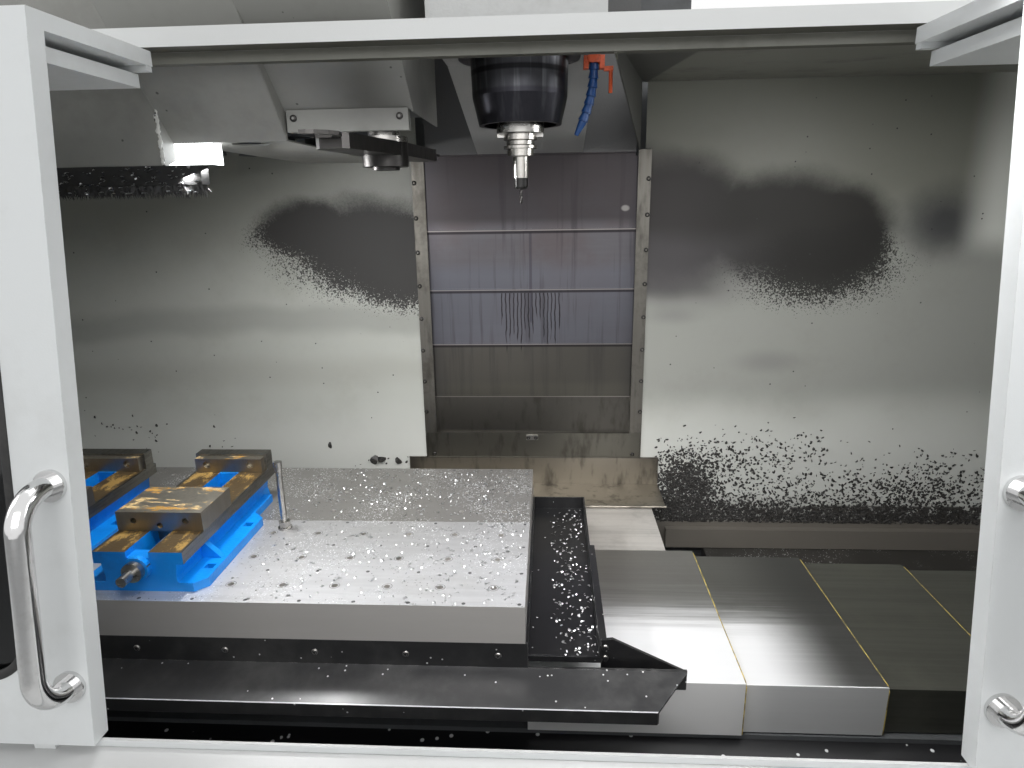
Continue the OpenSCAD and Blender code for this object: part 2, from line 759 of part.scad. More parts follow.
// Control pendant on a post at the right end of the sill
pendant_x = [post_x - 385, post_x - 35];
pendant_y = [front_y + 28, front_y + 118];
pendant_z = [1150, 1700];
stop_x = pendant_x[0] + 60;
stop_z = pendant_z[0] + 70;
jog_x = pendant_x[1] - 90;
jog_z = pendant_z[0] + 90;
module pendant() color("lightgray") difference() {
    union() {
        along_x(pendant_x, [
            [pendant_y[0] + 26, pendant_z[0]], [pendant_y[0], pendant_z[0] + 30],
            [pendant_y[0], pendant_z[0] + 200], [pendant_y[0] + 26, pendant_z[0] + 230],
            [pendant_y[0] + 26, pendant_z[1]], [pendant_y[1], pendant_z[1]],
            [pendant_y[1], pendant_z[0]]]);
        for (z = [pendant_z[0] + 60, pendant_z[1] - 120]) {
            rod_z(post_x, post_y, [z, z + 60], post_r + 10);
            span([pendant_x[1] - 1, post_x], [post_y - 12, post_y + 12], [z, z + 60]);
        }
        // Rows of keys
        for (i = [0 : 3], j = [0 : 2])
            span([stop_x + 70 + i * 24, stop_x + 86 + i * 24],
                [pendant_y[0] - 3, pendant_y[0] + 2], [stop_z - 20 + j * 36, stop_z + 4 + j * 36]);
    }
    rod_z(post_x, post_y, [pendant_z[0], pendant_z[1]], post_r + gap);
    // Recessed screen
    span([pendant_x[0] + 30, pendant_x[1] - 30], [pendant_y[0], pendant_y[0] + 30],
        [pendant_z[0] + 270, pendant_z[1] - 40]);
    rod_y(stop_x, [pendant_y[0] - 1, pendant_y[0] + 30], stop_z, stop_r + gap);
    rod_y(jog_x, [pendant_y[0] - 1, pendant_y[0] + 30], jog_z, jog_r + gap);
}

stop_r = 11;
module emergency_stop() color("red") union() {
    rod_y(stop_x, [pendant_y[0] - 12, pendant_y[0] + 22], stop_z, stop_r);
    rod_y(stop_x, [pendant_y[0] - 26, pendant_y[0] - 11], stop_z, 20);
}

jog_r = 8;
module jog_wheel() color("dimgray") union() {
    rod_y(jog_x, [pendant_y[0] - 8, pendant_y[0] + 28], jog_z, jog_r);
    rod_y(jog_x, [pendant_y[0] - 18, pendant_y[0] - 6], jog_z, 38);
    rod_y(jog_x + 24, [pendant_y[0] - 27, pendant_y[0] - 17], jog_z, 7);
}

// Saddle with its table rails, runners, screw nut and motor
saddle_in = 200;
module saddle() color("slategray") union() {
    saddle_body();
    translate([saddle_half - 200, spindle_y, x_screw_z]) rotate([0, 90, 0]) servo(130);
}

module saddle_body() difference() {
    union() {
        along_x([-saddle_half, saddle_half], [
            [spindle_y - saddle_in, saddle_top], [spindle_y + saddle_in, saddle_top],
            [spindle_y + saddle_in, cover_low - 4], [spindle_y + saddle_in + 40, cover_low - 4],
            [spindle_y + saddle_in + 40, saddle_bottom],
            [spindle_y - saddle_in - 40, saddle_bottom],
            [spindle_y - saddle_in - 40, cover_low - 4], [spindle_y - saddle_in, cover_low - 4]]);
        for (side = [-1, 1])
            translate([-saddle_half + 20, spindle_y + side * x_rail_y, saddle_top])
                rotate([90, 0, 90]) linear_extrude(2 * saddle_half - 40)
                    polygon(rail_outline(rail_w, x_rail_h));
        for (side = [-1, 1], y = [-150, 150])
            translate([side * y_rail_x, spindle_y + y, base_top])
                runner(120, 150, saddle_bottom - base_top, rail_h);
        span([-50, 50], [spindle_y - 60, spindle_y + 60], [y_screw_z - 22, saddle_bottom]);
    }
    // Channel for the table's screw, between its bearings
    difference() {
        span([-saddle_half - 1, saddle_half + 1],
            [spindle_y - channel_half, spindle_y + channel_half],
            [x_screw_z - 60, saddle_top + x_rail_h]);
        for (x = [-saddle_half + 200, saddle_half - 230])
            span([x, x + 30], [spindle_y - channel_half, spindle_y + channel_half],
                [x_screw_z - 60, saddle_top + 30]);
    }
    rod_x([-saddle_half, saddle_half], spindle_y, x_screw_z, screw_fit);
    rod_y(0, [spindle_y - 70, spindle_y + 70], y_screw_z, screw_fit);
    // The wings thin out towards both ends
    both_sides() along_y([spindle_y - saddle_in - 41, spindle_y + saddle_in + 41], [
        [650, saddle_bottom - 1], [saddle_half + 1, saddle_bottom - 1],
        [saddle_half + 1, saddle_bottom + 25], [650, saddle_bottom]]);
}

// One table cover: a bent sheet with wiper bars at its outer end
module x_cover(k, x0, x1) {
    top = cover_top - cover_step * k;
    half = cover_half - cover_step * k;
    wiper = cover_step - cover_t - gap;
    difference() {
        span([x0, x1], [spindle_y - half, spindle_y + half], [cover_low, top]);
        span([x0 - 1, x1 - (k < 4 ? 12 : cover_t)],
            [spindle_y - half + cover_t, spindle_y + half - cover_t],
            [cover_low - 1, top - cover_t]);
        if (k < 4)
            span([x1 - 13, x1 + 1],
                [spindle_y - half + cover_t + wiper, spindle_y + half - cover_t - wiper],
                [cover_low - 1, top - cover_t - wiper]);
    }
}

// The covers at both ends of the table; the left one is drawn in by the travel
module x_cover_pair(k) {
    x1 = cover_edges[k];
    x_cover(k, x1 - cover_l, x1);
    translate([-cover_share(k) * x_travel, 0, 0]) mirror([1, 0, 0])
        x_cover(k, x1 - cover_l, x1);
}

module x_covers_2() color("silver") x_cover_pair(1);
module x_covers_3() color("silver") x_cover_pair(2);
module x_covers_4() color("silver") x_cover_pair(3);

module table_cover(x0, x1) {
    union() {
        x_cover(0, x0, x1);
        span([x0, x0 + cover_t], [spindle_y - cover_half, spindle_y + cover_half],
            [cover_top - cover_t, cover_top + 40]);
    }
}

module table_covers() color("silver") {
    table_cover(table_right, cover_edges[0]);
    translate([-x_travel, 0, 0]) mirror([1, 0, 0]) table_cover(table_right, cover_edges[0]);
}

rear_cover_half = 360;
rear_cover_top = band_low - gap;
rear_cover_y = spindle_y + cover_half + 3;
rear_cover_l = y_forward + 460;
module saddle_covers() color("silver") {
    both_sides() x_cover(4, saddle_half + cover_t - cover_l, saddle_half + cover_t);
    union() {
        span([-rear_cover_half, rear_cover_half], [rear_cover_y, rear_cover_y + rear_cover_l],
            [rear_cover_top - cover_t, rear_cover_top]);
        both_sides() span([rear_cover_half - cover_t, rear_cover_half],
            [rear_cover_y, rear_cover_y + rear_cover_l], [rear_cover_top - 20, rear_cover_top]);
        span([-rear_cover_half, rear_cover_half], [rear_cover_y, rear_cover_y + cover_t],
            [saddle_bottom + 10, rear_cover_top]);
        for (x = [-300, 0, 300])
            span([x - 30, x + 30], [spindle_y + saddle_in + 40, rear_cover_y],
                [saddle_bottom + 20, saddle_bottom + 60]);
    }
    along_x([-saddle_half + 300, saddle_half - 300], [
        [spindle_y - saddle_in - 40, saddle_bottom + 70],
        [spindle_y - saddle_in - 40, saddle_bottom + 10],
        [spindle_y - saddle_in - 43, saddle_bottom + 10],
        [spindle_y - saddle_in - 43, saddle_bottom + 66],
        [spindle_y - saddle_in - 220, saddle_bottom + 36],
        [spindle_y - saddle_in - 220, saddle_bottom + 40]]);
}

module x_screw() color("silver")
    translate([-saddle_half + 140, spindle_y, x_screw_z]) rotate([0, 90, 0])
        ball_screw(2 * saddle_half - 340 - gap);

module y_screw() color("silver")
    translate([0, base_front + 20, y_screw_z]) rotate([-90, 0, 0])
        ball_screw(column_y - 30 - gap - base_front - 20);

module z_screw() color("silver")
    translate([0, z_screw_y, head_low - z_travel - 80])
        ball_screw(column_top - gap - (head_low - z_travel - 80));

// Table with T-slots, its runners and the nut of its screw
slot_count = 5;
module table() color("gray") difference() {
    union() {
        span([table_left, table_right], [table_front, table_front + table_w],
            [table_bottom, table_top]);
        for (side = [-1, 1], x = [-400, 400])
            translate([table_x + x, spindle_y + side * x_rail_y, saddle_top]) rotate([0, 0, 90])
                runner(100, 160, table_bottom - saddle_top, x_rail_h);
        span([table_x - 60, table_x + 60], [spindle_y - 45, spindle_y + 45],
            [x_screw_z - 22, table_bottom]);
    }
    for (i = [0 : slot_count - 1]) {
        y = spindle_y + (i - (slot_count - 1) / 2) * slot_pitch;
        span([table_left - 1, table_right + 1], [y - slot_w / 2, y + slot_w / 2],
            [table_top - 34, table_top + 1]);
        span([table_left - 1, table_right + 1], [y - slot_w / 2 - 7, y + slot_w / 2 + 7],
            [table_top - 34, table_top - 18]);
    }
    rod_x([table_x - 61, table_x + 61], spindle_y, x_screw_z, screw_fit);
}

// Two ground plates with a grid of threaded holes
hole_cols = floor((table_l - 60) / hole_pitch);
hole_rows = floor((plate_w / 2 - 50) / hole_pitch);
module tooling_plate(y0, y1) difference() {
    span([table_left, table_right], [y0, y1], [table_top, plate_top]);
    for (i = [0 : hole_cols], j = [0 : hole_rows])
        rod_z(table_x + (i - hole_cols / 2) * hole_pitch,
            (y0 + y1) / 2 + (j - hole_rows / 2) * hole_pitch, [plate_top - 30, plate_top + 1],
            hole_d / 2);
}

module tooling_plates() color("lightgray") {
    tooling_plate(plate_front, spindle_y + 8 - gap / 2);
    tooling_plate(spindle_y + 8 + gap / 2, plate_back);
}

// Chip tray at the right end of the table, with its rail and corner bracket
tray_floor = table_top - 44;
tray_out = table_right + 138;
tray_t = 4;
bracket_y = table_front + 20;
module chip_tray() color("dimgray") union() {
    span([table_right, tray_out], [table_front, plate_back + 8], [tray_floor, tray_floor + tray_t]);
    span([tray_out - tray_t, tray_out], [table_front, plate_back + 8], [tray_floor, table_top - 8]);
    span([table_right, table_right + tray_t], [table_front, plate_back + 8],
        [tray_floor, table_top - 8]);
    span([table_right, tray_out], [plate_back + 8 - tray_t, plate_back + 8],
        [tray_floor, table_top - 8]);
    span([table_right, tray_out], [table_front, table_front + tray_t],
        [tray_floor, tray_floor + 12]);
    // Side rail
    span([tray_out, tray_out + 10], [bracket_y, spindle_y + 60], [tray_floor - 6, table_top - 8]);
    // Bracket to the front apron, with two screws
    along_y([bracket_y - 6, bracket_y], [
        [tray_out, table_top - 7], [tray_out + 20, table_top - 4], [tray_out + 156, table_top - 72],
        [tray_out + 156, table_top - 90], [tray_out, table_top - 80]]);
    for (z = [table_top - 22, table_top - 44])
        rod_y(tray_out + 7, [bracket_y - 10, bracket_y - 5], z, 5);
}

// Folded apron and trough along the front of the table
apron_y = table_front;
apron_end = 291;
lip_end = 226;
apron_fold = table_top - 55;
trough_lip = apron_y - 80;
module apron_half() difference() {
    along_x([0, table_l / 2 + apron_end], [
        [apron_y, table_top - 4], [apron_y, apron_fold - 40], [apron_y - 4, apron_fold - 40],
        [apron_y - 4, apron_fold - 4], [trough_lip, apron_fold - 24],
        [trough_lip, apron_fold - 45], [trough_lip - 4, apron_fold - 45],
        [trough_lip - 4, apron_fold - 20], [apron_y - 4, apron_fold],
        [apron_y - 4, table_top - 4]]);
    // The trough's end is cut off at a slant
    linear_extrude(table_top) polygon([
        [table_l / 2 + apron_end + 1, apron_y - 4], [table_l / 2 + lip_end, trough_lip - 5],
        [table_l / 2 + apron_end + 1, trough_lip - 5]]);
    span([table_l / 2 + tray_t, table_l / 2 + apron_end + 1], [apron_y - 5, apron_y + 1],
        [apron_fold + 1, table_top + 1]);
}

module front_apron() color("dimgray") translate([table_x, 0, 0]) union() {
    apron_half();
    mirror([1, 0, 0]) apron_half();
    for (x = [-510 : 170 : 510]) rod_y(x, [apron_y - 7, apron_y - 3], table_top - 30, 5);
}

stud_x = -532;
stud_y = spindle_y - 29;
module clamp_stud() color("dimgray") translate([stud_x, stud_y, plate_top]) union() {
    cylinder(h = 4, r = 15);
    translate([0, 0, 4]) cylinder(h = 14, r = 13, $fn = 6);
    cylinder(h = 154, r = 7);
    translate([0, 0, 146]) cylinder(h = 12, r = 9);
}

// Vise: cast body with feet, ground bed, open slot and fixed jaw
module vise_body() difference() {
    union() {
        // Foot plate, wider at the front
        translate([0, vise_front, plate_top]) linear_extrude(18) polygon([
            [20 - foot_half, 0], [foot_half - 20, 0], [foot_half, 20], [foot_half, 262],
            [foot_half - 28, 288], [foot_half - 28, vise_l - 40], [28 - foot_half, vise_l - 40],
            [28 - foot_half, 288], [-foot_half, 262], [-foot_half, 20]]);
        along_y([vise_front, vise_back - 12], [
            [-74, plate_top], [74, plate_top], [68, plate_top + 26], [72, bed_z - bed_t],
            [-72, bed_z - bed_t], [-68, plate_top + 26]]);
        span([-jaw_w / 2, jaw_w / 2], [vise_front, vise_back], [bed_z - bed_t, bed_z]);
        span([-jaw_w / 2, jaw_w / 2], [fixed_jaw_y + jaw_plate_t, vise_back - 8], [bed_z - 1, jaw_z]);
        rod_y(0, [vise_front - 12, vise_front + 1], vise_screw_z, 24);
        // Ribs that stiffen the flanks
        for (side = [-1, 1])
            along_y([vise_front + 90, vise_front + 104], [
                [side * 66, plate_top + 17], [side * (foot_half - 8), plate_top + 17],
                [side * 70, bed_z - bed_t + 1], [side * 60, bed_z - bed_t + 1]]);
    }
    span([-vise_slot, vise_slot], [vise_front + 30, fixed_jaw_y - 4], [plate_top + 12, bed_z + 1]);
    span([-vise_slot, vise_slot], [vise_front - 1, vise_front + 31], [bed_z - 12, bed_z + 1]);
    rod_y(0, [vise_front - 13, fixed_jaw_y + 20], vise_screw_z, vise_screw_r + gap);
    // Slots for the clamping screws in the feet
    for (side = [-1, 1], y = [vise_front + 60, vise_front + 230])
        span([side * 100 - 9, side * 100 + 9], [y - 8, y + 8], [plate_top - 1, plate_top + 19]);
}

module vise_pair() {
    translate([vise_x, 0, 0]) children();
    translate([vise_x - vise_pitch, 0, 0]) children();
}

module vise_bodies() color("dodgerblue") vise_pair() vise_body();

module vise_jaw_plates() color("gray") vise_pair() difference() {
    span([-jaw_w / 2 + 6, jaw_w / 2 - 6], [fixed_jaw_y, fixed_jaw_y + jaw_plate_t],
        [bed_z + gap, jaw_z - 6]);
    for (x = [-52, 52])
        rod_y(x, [fixed_jaw_y - 1, fixed_jaw_y + 9], (bed_z + jaw_z) / 2, 9);
}

// Moving jaw: ground block with a tongue that holds the screw's nut
module moving_jaw(x) translate([x, 0, 0]) difference() {
    union() {
        span([-jaw_w / 2, jaw_w / 2], [moving_y, moving_y + moving_l], [bed_z + gap, jaw_z]);
        span([-vise_slot + gap, vise_slot - gap], [moving_y + 24, moving_y + moving_l - 24],
            [plate_top + 14, bed_z + 1]);
    }
    rod_y(0, [moving_y, moving_y + moving_l], vise_screw_z, vise_screw_r + gap);
    for (hole = [[-52, 22], [52, 22], [0, 12]])
        rod_y(hole[0], [moving_y - 1, moving_y + 16], bed_z + hole[1], 6);
}

module right_vise_jaw() color("gray") moving_jaw(vise_x);
module left_vise_jaw() color("gray") moving_jaw(vise_x - vise_pitch);

// Screw with a collar and a round bar for the crank
module vise_screw(x) translate([x, 0, 0]) union() {
    rod_y(0, [vise_front - 16, fixed_jaw_y + 16], vise_screw_z, vise_screw_r);
    rod_y(0, [vise_front - 24, vise_front - 12 - gap], vise_screw_z, 19);
    rod_y(0, [vise_front - 54, vise_front - 15], vise_screw_z, 9.5);
}

module right_vise_screw() color("silver") vise_screw(vise_x);
module left_vise_screw() color("silver") vise_screw(vise_x - vise_pitch);

// Head: cantilever casting, carriage plate, runners and screw nut
module head_casting() color("gainsboro") difference() {
    union() {
        along_x([-head_w / 2, head_w / 2], [
            [head_front, flange_z], [spindle_y + 120, flange_z], [head_back, head_low],
            [head_back, head_top], [-300, head_top - 60], [spindle_y + 130, head_top - 180],
            [head_front + 40, head_top - 180], [head_front, head_top - 240]]);
        span([-carriage_half, carriage_half], [head_back, carriage_back], [head_low, head_top]);
        for (side = [-1, 1], z = [head_low + 110, head_top - 120])
            translate([side * z_rail_x, 0, z]) head_runner();
        span([-45, 45], [carriage_back - 1, column_y - 4], [head_low + 240, head_low + 360]);
    }
    rod_z(0, z_screw_y, [head_low, head_top], screw_fit);
    rod_z(0, spindle_y, [flange_z - 1, flange_z + 310], cartridge_r + gap);
    // Cover recesses in both flanks
    for (side = [-1, 1])
        span([side * head_w / 2 - 12, side * head_w / 2 + 12], [spindle_y + 190, head_back - 160],
            [flange_z + 60, flange_z + 300]);
}

// A runner standing upright between the carriage plate and the column rail
runner_w = 100;
runner_l = 160;
module head_runner() translate([0, 0, -runner_l / 2]) linear_extrude(runner_l) difference() {
    translate([-runner_w / 2, carriage_back - 1])
        square([runner_w, column_y - rail_h * 0.4 - carriage_back + 1]);
    translate([-rail_w / 2 - 1, column_y - rail_h - 1]) square([rail_w + 2, rail_h + 2]);
}

module spindle_cartridge() color("dimgray") difference() {
    translate([0, spindle_y, 0]) rotate_extrude() polygon([
        [rotor_r + gap, flange_z + 300], [cartridge_r, flange_z + 300], [cartridge_r, flange_z],
        [112, flange_z], [112, flange_z - 14], [90, flange_z - 14], [88, flange_z - 80],
        [77, nose_z + 14], [68, nose_z + 14], [74, nose_z + 60], [60, nose_z + 66],
        [56, nose_z + 32], [50, nose_z + 30], [50, nose_z + 27], [rotor_r + gap, nose_z + 27]]);
    for (a = [30 : 60 : 330])
        rod_z(101 * cos(a), spindle_y + 101 * sin(a), [flange_z - 15, flange_z - 8], 6);
}

module spindle_motor() color("darkslategray") union() {
    translate([0, spindle_y, head_top - 180]) linear_extrude(motor_top - 40 - head_top + 180)
        rounded_square(200, 200, 24);
    rod_z(0, spindle_y, [motor_top - 41, motor_top], 84);
    span([100, 136], [spindle_y - 50, spindle_y + 50], [head_top - 100, head_top - 20]);
    span([99, 101], [spindle_y - 50, spindle_y + 50], [head_top - 100, head_top - 20]);
}

// Rotating spindle with a 7 in 24 taper and two drive keys
taper = 7 / 48;
gauge_r = 22.225;
taper_l = 66;
key_w = 16;
module spindle_rotor() color("silver") difference() {
    union() {
        rod_z(0, spindle_y, [nose_z, nose_z + 26.7], nose_d / 2);
        rod_z(0, spindle_y, [nose_z + 20, flange_z + 290], rotor_r);
        for (side = [-1, 1])
            span([side * 34 - 9, side * 34 + 9], [spindle_y - key_w / 2, spindle_y + key_w / 2],
                [nose_z - 7, nose_z + 1]);
    }
    translate([0, spindle_y, nose_z - 8]) rotate_extrude() polygon([
        [0, 0], [gauge_r + gap + 8 * taper, 0],
        [gauge_r + gap - (taper_l - 4) * taper, taper_l + 4 + gap], [0, taper_l + 4 + gap]]);
    rod_z(0, spindle_y, [nose_z + taper_l - 5, nose_z + taper_l + 60], 10);
}

// Taper tool holder with its gripping groove, collet body and nut
holder_r = holder_d / 2;
nut_r = 13.5;
body_low = nose_z - 80;
nut_low = nose_z - 100;
groove_r = holder_r - 5;
module tool_holder() color("silver") {
    difference() {
        translate([0, spindle_y, 0]) rotate_extrude() polygon([
            [0, nose_z + taper_l - 4], [gauge_r - (taper_l - 4) * taper, nose_z + taper_l - 4],
            [gauge_r, nose_z], [gauge_r, nose_z - 2], [holder_r, nose_z - 2],
            [holder_r, groove_z + 5.5], [groove_r, groove_z + 3.6], [0, groove_z + 3.6]]);
        for (side = [-1, 1])
            span([side * 34 - 10, side * 34 + 10],
                [spindle_y - key_w / 2 - gap, spindle_y + key_w / 2 + gap], [nose_z - 8, nose_z + 1]);
    }
    // Core of the gripping groove, between the two halves of the flange
    rod_z(0, spindle_y, [groove_z - 3.6 + gap, groove_z + 3.6 - gap], groove_r);
    difference() {
        translate([0, spindle_y, 0]) rotate_extrude() polygon([
            [0, groove_z - 3.6], [groove_r, groove_z - 3.6], [holder_r, groove_z - 5.5],
            [holder_r, nose_z - 27], [25, nose_z - 27], [25, nose_z - 40], [15, nose_z - 42],
            [15, body_low], [nut_r, body_low], [nut_r, nut_low + 4], [nut_r - 4, nut_low],
            [0, nut_low]]);
        rod_z(0, spindle_y, [nut_low - 1, nut_low + 40], drill_d / 2 + 0.05);
    }
}

module drill() color("silver") union() {
    rod_z(0, spindle_y, [nose_z - 124, nut_low + 40], drill_d / 2);
    translate([0, spindle_y, nose_z - 128]) cylinder(h = 4.5, r1 = 0.4, r2 = drill_d / 2);
}

// Jointed hose: socket-and-ball links along a bend
hose_x = 136;
hose_links = 7;
module coolant_hose() color("blue") translate([hose_x, spindle_y, flange_z - 24])
    hose_link(0);

module hose_link(i) {
    turn = 3.8;
    pitch = 15;
    union() {
        if (i < hose_links) {
            translate([0, 0, -11]) cylinder(h = 11, r1 = 9.5, r2 = 7.5);
            translate([0, 0, -14]) sphere(r = 7.5);
            translate([0, 0, -pitch]) rotate([0, turn, 0]) hose_link(i + 1);
        } else
            translate([0, 0, -24]) cylinder(h = 25, r1 = 4, r2 = 7.5);
    }
}

module coolant_valve() color("orangered") union() {
    span([hose_x - 11, hose_x + 11], [spindle_y - 13, spindle_y + 13],
        [flange_z - 24, flange_z]);
    for (side = [-1, 1])
        span([hose_x + side * 14.5 - 4.5, hose_x + side * 14.5 + 4.5],
            [spindle_y - 9, spindle_y + 9], [flange_z - 34, flange_z - 12]);
    // Thin tube beside the hose
    rod_z(hose_x + 31, spindle_y, [flange_z - 75, flange_z - 34], 3.5);
    span([hose_x + 18, hose_x + 35], [spindle_y - 4, spindle_y + 4],
        [flange_z - 38, flange_z - 30]);
}

// Column cover plates, each a little behind the one above
module column_plate(i) {
    y = plane_y + i * (cover_t + gap);
    low = plate_bottoms[i];
    union() {
        span([-plate_half, plate_half], [y, y + cover_t], [low, low + plate_tall]);
        span([-strip_in + 4, strip_in - 4], [y - hem_rise, y + 1], [low, low + hem]);
    }
}

module z_cover_1() color("lightgray") union() {
    column_plate(0);
    span([-carriage_half, carriage_half], [head_back, plane_y + cover_t],
        [head_low - cover_t, head_low]);
    span([-carriage_half, carriage_half], [plane_y, plane_y + cover_t],
        [plate_bottoms[0] + plate_tall - 1, head_low]);
}
module z_cover_2() color("lightgray") column_plate(1);
module z_cover_3() color("lightgray") column_plate(2);
module z_cover_4() color("lightgray") column_plate(3);

module arm_shaft() color("silver") union() {
    rod_z(arm_x, spindle_y, [arm_low + arm_t, frame_z + arm_stroke - 20], shaft_r);
    rod_z(arm_x, spindle_y, [arm_low + arm_t, arm_low + arm_t + 10], 44);
}

// Twin arm: a hub and two tapered arms, each with a ring of flat-faced jaw blocks
grip_in = groove_r + 0.6;
grip_out = grip_in + 16;
grip_t = 6;
arm_end = arm_reach - grip_out - gap;
module half_arm() linear_extrude(arm_t) polygon([
    [0, -arm_half - 8], [0, arm_half + 8], [120, arm_half], [arm_end - 15, 30],
    [arm_end, 24], [arm_end, -16], [arm_end - 15, -30], [120, -arm_half]]);

// Jaw block between two angles; its flat inner face clears the groove
module jaw_block(a0, a1, flat) polygon([
    for (a = [a0, a1]) grip_in / cos(flat - a) * [cos(a), sin(a)],
    for (a = [a1, (a0 + a1) / 2, a0]) grip_out * [cos(a), sin(a)]]);

module grip() translate([arm_reach, 0, groove_z - arm_low - grip_t / 2]) {
    for (a = [30, 90]) linear_extrude(grip_t) jaw_block(a + 0.4, a + 59.6, a + 30);
    linear_extrude(grip_t) jaw_block(0, 29.6, 0);
    linear_extrude(grip_t) polygon([
        [-grip_out, -13], [-grip_in, -13], [-grip_in, grip_in * tan(30) - gap],
        [-grip_out * cos(30), grip_out * sin(30) - gap], [-grip_out, grip_out * sin(30) - gap]]);
}

module tool_arm() color("dimgray") translate([arm_x, spindle_y, arm_low]) rotate([0, 0, arm_park]) {
    union() {
        half_arm();
        rotate([0, 0, 180]) half_arm();
        translate([0, 0, -20]) cylinder(h = 20 + arm_t, r = 44);
        translate([0, 0, -26]) cylinder(h = 7, r = 26);
    }
    grip();
    rotate([0, 0, 180]) grip();
}

// Carousel with hanging pots, each bored to the taper
module magazine_drum() color("gray") translate([drum_x, drum_y, 0]) difference() {
    union() {
        rod_z(0, 0, [drum_z, drum_z + 16], pot_ring + 18);
        rod_z(0, 0, [drum_z, frame_z + 30], shaft_r);
        rod_z(0, 0, [drum_z, drum_z + 30 - gap], 60);
        for (i = [0 : pot_count - 1]) rotate([0, 0, drum_turn - 90 + i * 360 / pot_count])
            translate([pot_ring, 0, pot_z]) cylinder(h = drum_z - pot_z + 1, r1 = 30, r2 = 28);
    }
    for (i = [0 : pot_count - 1]) rotate([0, 0, drum_turn - 90 + i * 360 / pot_count])
        translate([pot_ring, 0, pot_z - 1]) cylinder(h = 80, r1 = 23, r2 = 12);
    for (i = [0 : 5]) rotate([0, 0, 60 * i]) rod_z(160, 0, [drum_z - 1, drum_z + 17], 50);
}

base_casting();
levelling_feet();
column();
guide_rails();
axis_motors();
chip_pans();
front_sill();
enclosure_sides();
back_walls();
roof_frame();
magazine_guard();
work_lamp();
cover_frame();
changer_frame();
electrical_cabinet();
cabinet_door();
left_door();
left_window();
left_handle();
right_door();
right_window();
right_handle();
pendant();
emergency_stop();
jog_wheel();
saddle();
saddle_covers();
x_screw();
y_screw();
z_screw();
table_covers();
x_covers_2();
x_covers_3();
x_covers_4();
table();
tooling_plates();
chip_tray();
front_apron();
clamp_stud();
vise_bodies();
vise_jaw_plates();
right_vise_jaw();
left_vise_jaw();
right_vise_screw();
left_vise_screw();
head_casting();
spindle_cartridge();
spindle_motor();
coolant_hose();
coolant_valve();
spindle_rotor();
tool_holder();
drill();
z_cover_1();
z_cover_2();
z_cover_3();
z_cover_4();
arm_shaft();
tool_arm();
magazine_drum();
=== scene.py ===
import math

import bpy
import numpy as np
from mathutils import Matrix, Vector


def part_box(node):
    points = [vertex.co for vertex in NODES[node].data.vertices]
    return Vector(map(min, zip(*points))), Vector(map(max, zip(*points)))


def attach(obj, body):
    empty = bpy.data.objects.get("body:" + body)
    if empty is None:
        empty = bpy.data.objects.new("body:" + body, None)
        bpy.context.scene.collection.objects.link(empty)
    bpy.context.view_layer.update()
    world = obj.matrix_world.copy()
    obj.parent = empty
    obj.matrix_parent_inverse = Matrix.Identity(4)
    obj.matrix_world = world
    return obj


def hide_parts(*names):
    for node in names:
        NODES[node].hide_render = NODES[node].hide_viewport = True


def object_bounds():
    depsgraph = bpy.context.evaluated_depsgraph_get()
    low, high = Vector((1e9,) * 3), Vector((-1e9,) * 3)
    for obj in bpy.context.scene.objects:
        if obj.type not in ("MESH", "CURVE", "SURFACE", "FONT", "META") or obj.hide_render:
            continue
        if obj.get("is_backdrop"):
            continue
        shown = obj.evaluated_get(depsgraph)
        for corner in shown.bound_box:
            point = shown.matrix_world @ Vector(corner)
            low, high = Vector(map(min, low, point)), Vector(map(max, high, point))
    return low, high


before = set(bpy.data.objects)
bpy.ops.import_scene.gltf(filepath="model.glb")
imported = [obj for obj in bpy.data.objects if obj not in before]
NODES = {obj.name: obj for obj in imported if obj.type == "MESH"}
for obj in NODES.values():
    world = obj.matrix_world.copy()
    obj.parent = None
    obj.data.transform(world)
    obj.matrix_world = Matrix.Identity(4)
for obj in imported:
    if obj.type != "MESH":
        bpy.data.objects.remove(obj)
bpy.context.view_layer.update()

# Places and sizes in metres, as in the part's source
SPINDLE_Y = -0.6
NOSE_Z = 1.738
WALL_Y = 0.072
TABLE_X = -0.55
PLATE_TOP = 0.925
TRAY_TOP = 0.810
HOLE_PITCH = 0.1
VISE_X, VISE_PITCH = -0.705, 0.3
PLATE_BOTTOMS = (1.529, 1.353, 1.184, 1.014, 0.896)
COVER_ENDS = (0.427, 0.698, 0.953, 1.210)
COVER_SHIFTS = (1.1, 0.802, 0.537, 0.275)
COVER_TOP, COVER_FOOT, COVER_HALF, COVER_STEP = 0.723, 0.606, 0.247, 0.010
DOOR_LEAN = 0.149
DOOR_Y, DOOR_Z = -1.195, 1.138
WINDOW_Z = (1.012, 1.493)
WINDOW_X = {"left_door": (-1.078, -0.641), "right_door": (0.666, 1.103)}

# Camera, solved from the picture: focal length in its pixels, turns in degrees
PICTURE_WIDTH, FOCAL_LENGTH = 1024, 657.8
CAMERA_AT = (0.0532, -1.920, 1.618)
CAMERA_YAW, CAMERA_PITCH, CAMERA_ROLL = 3.342, 15.63, 0.988


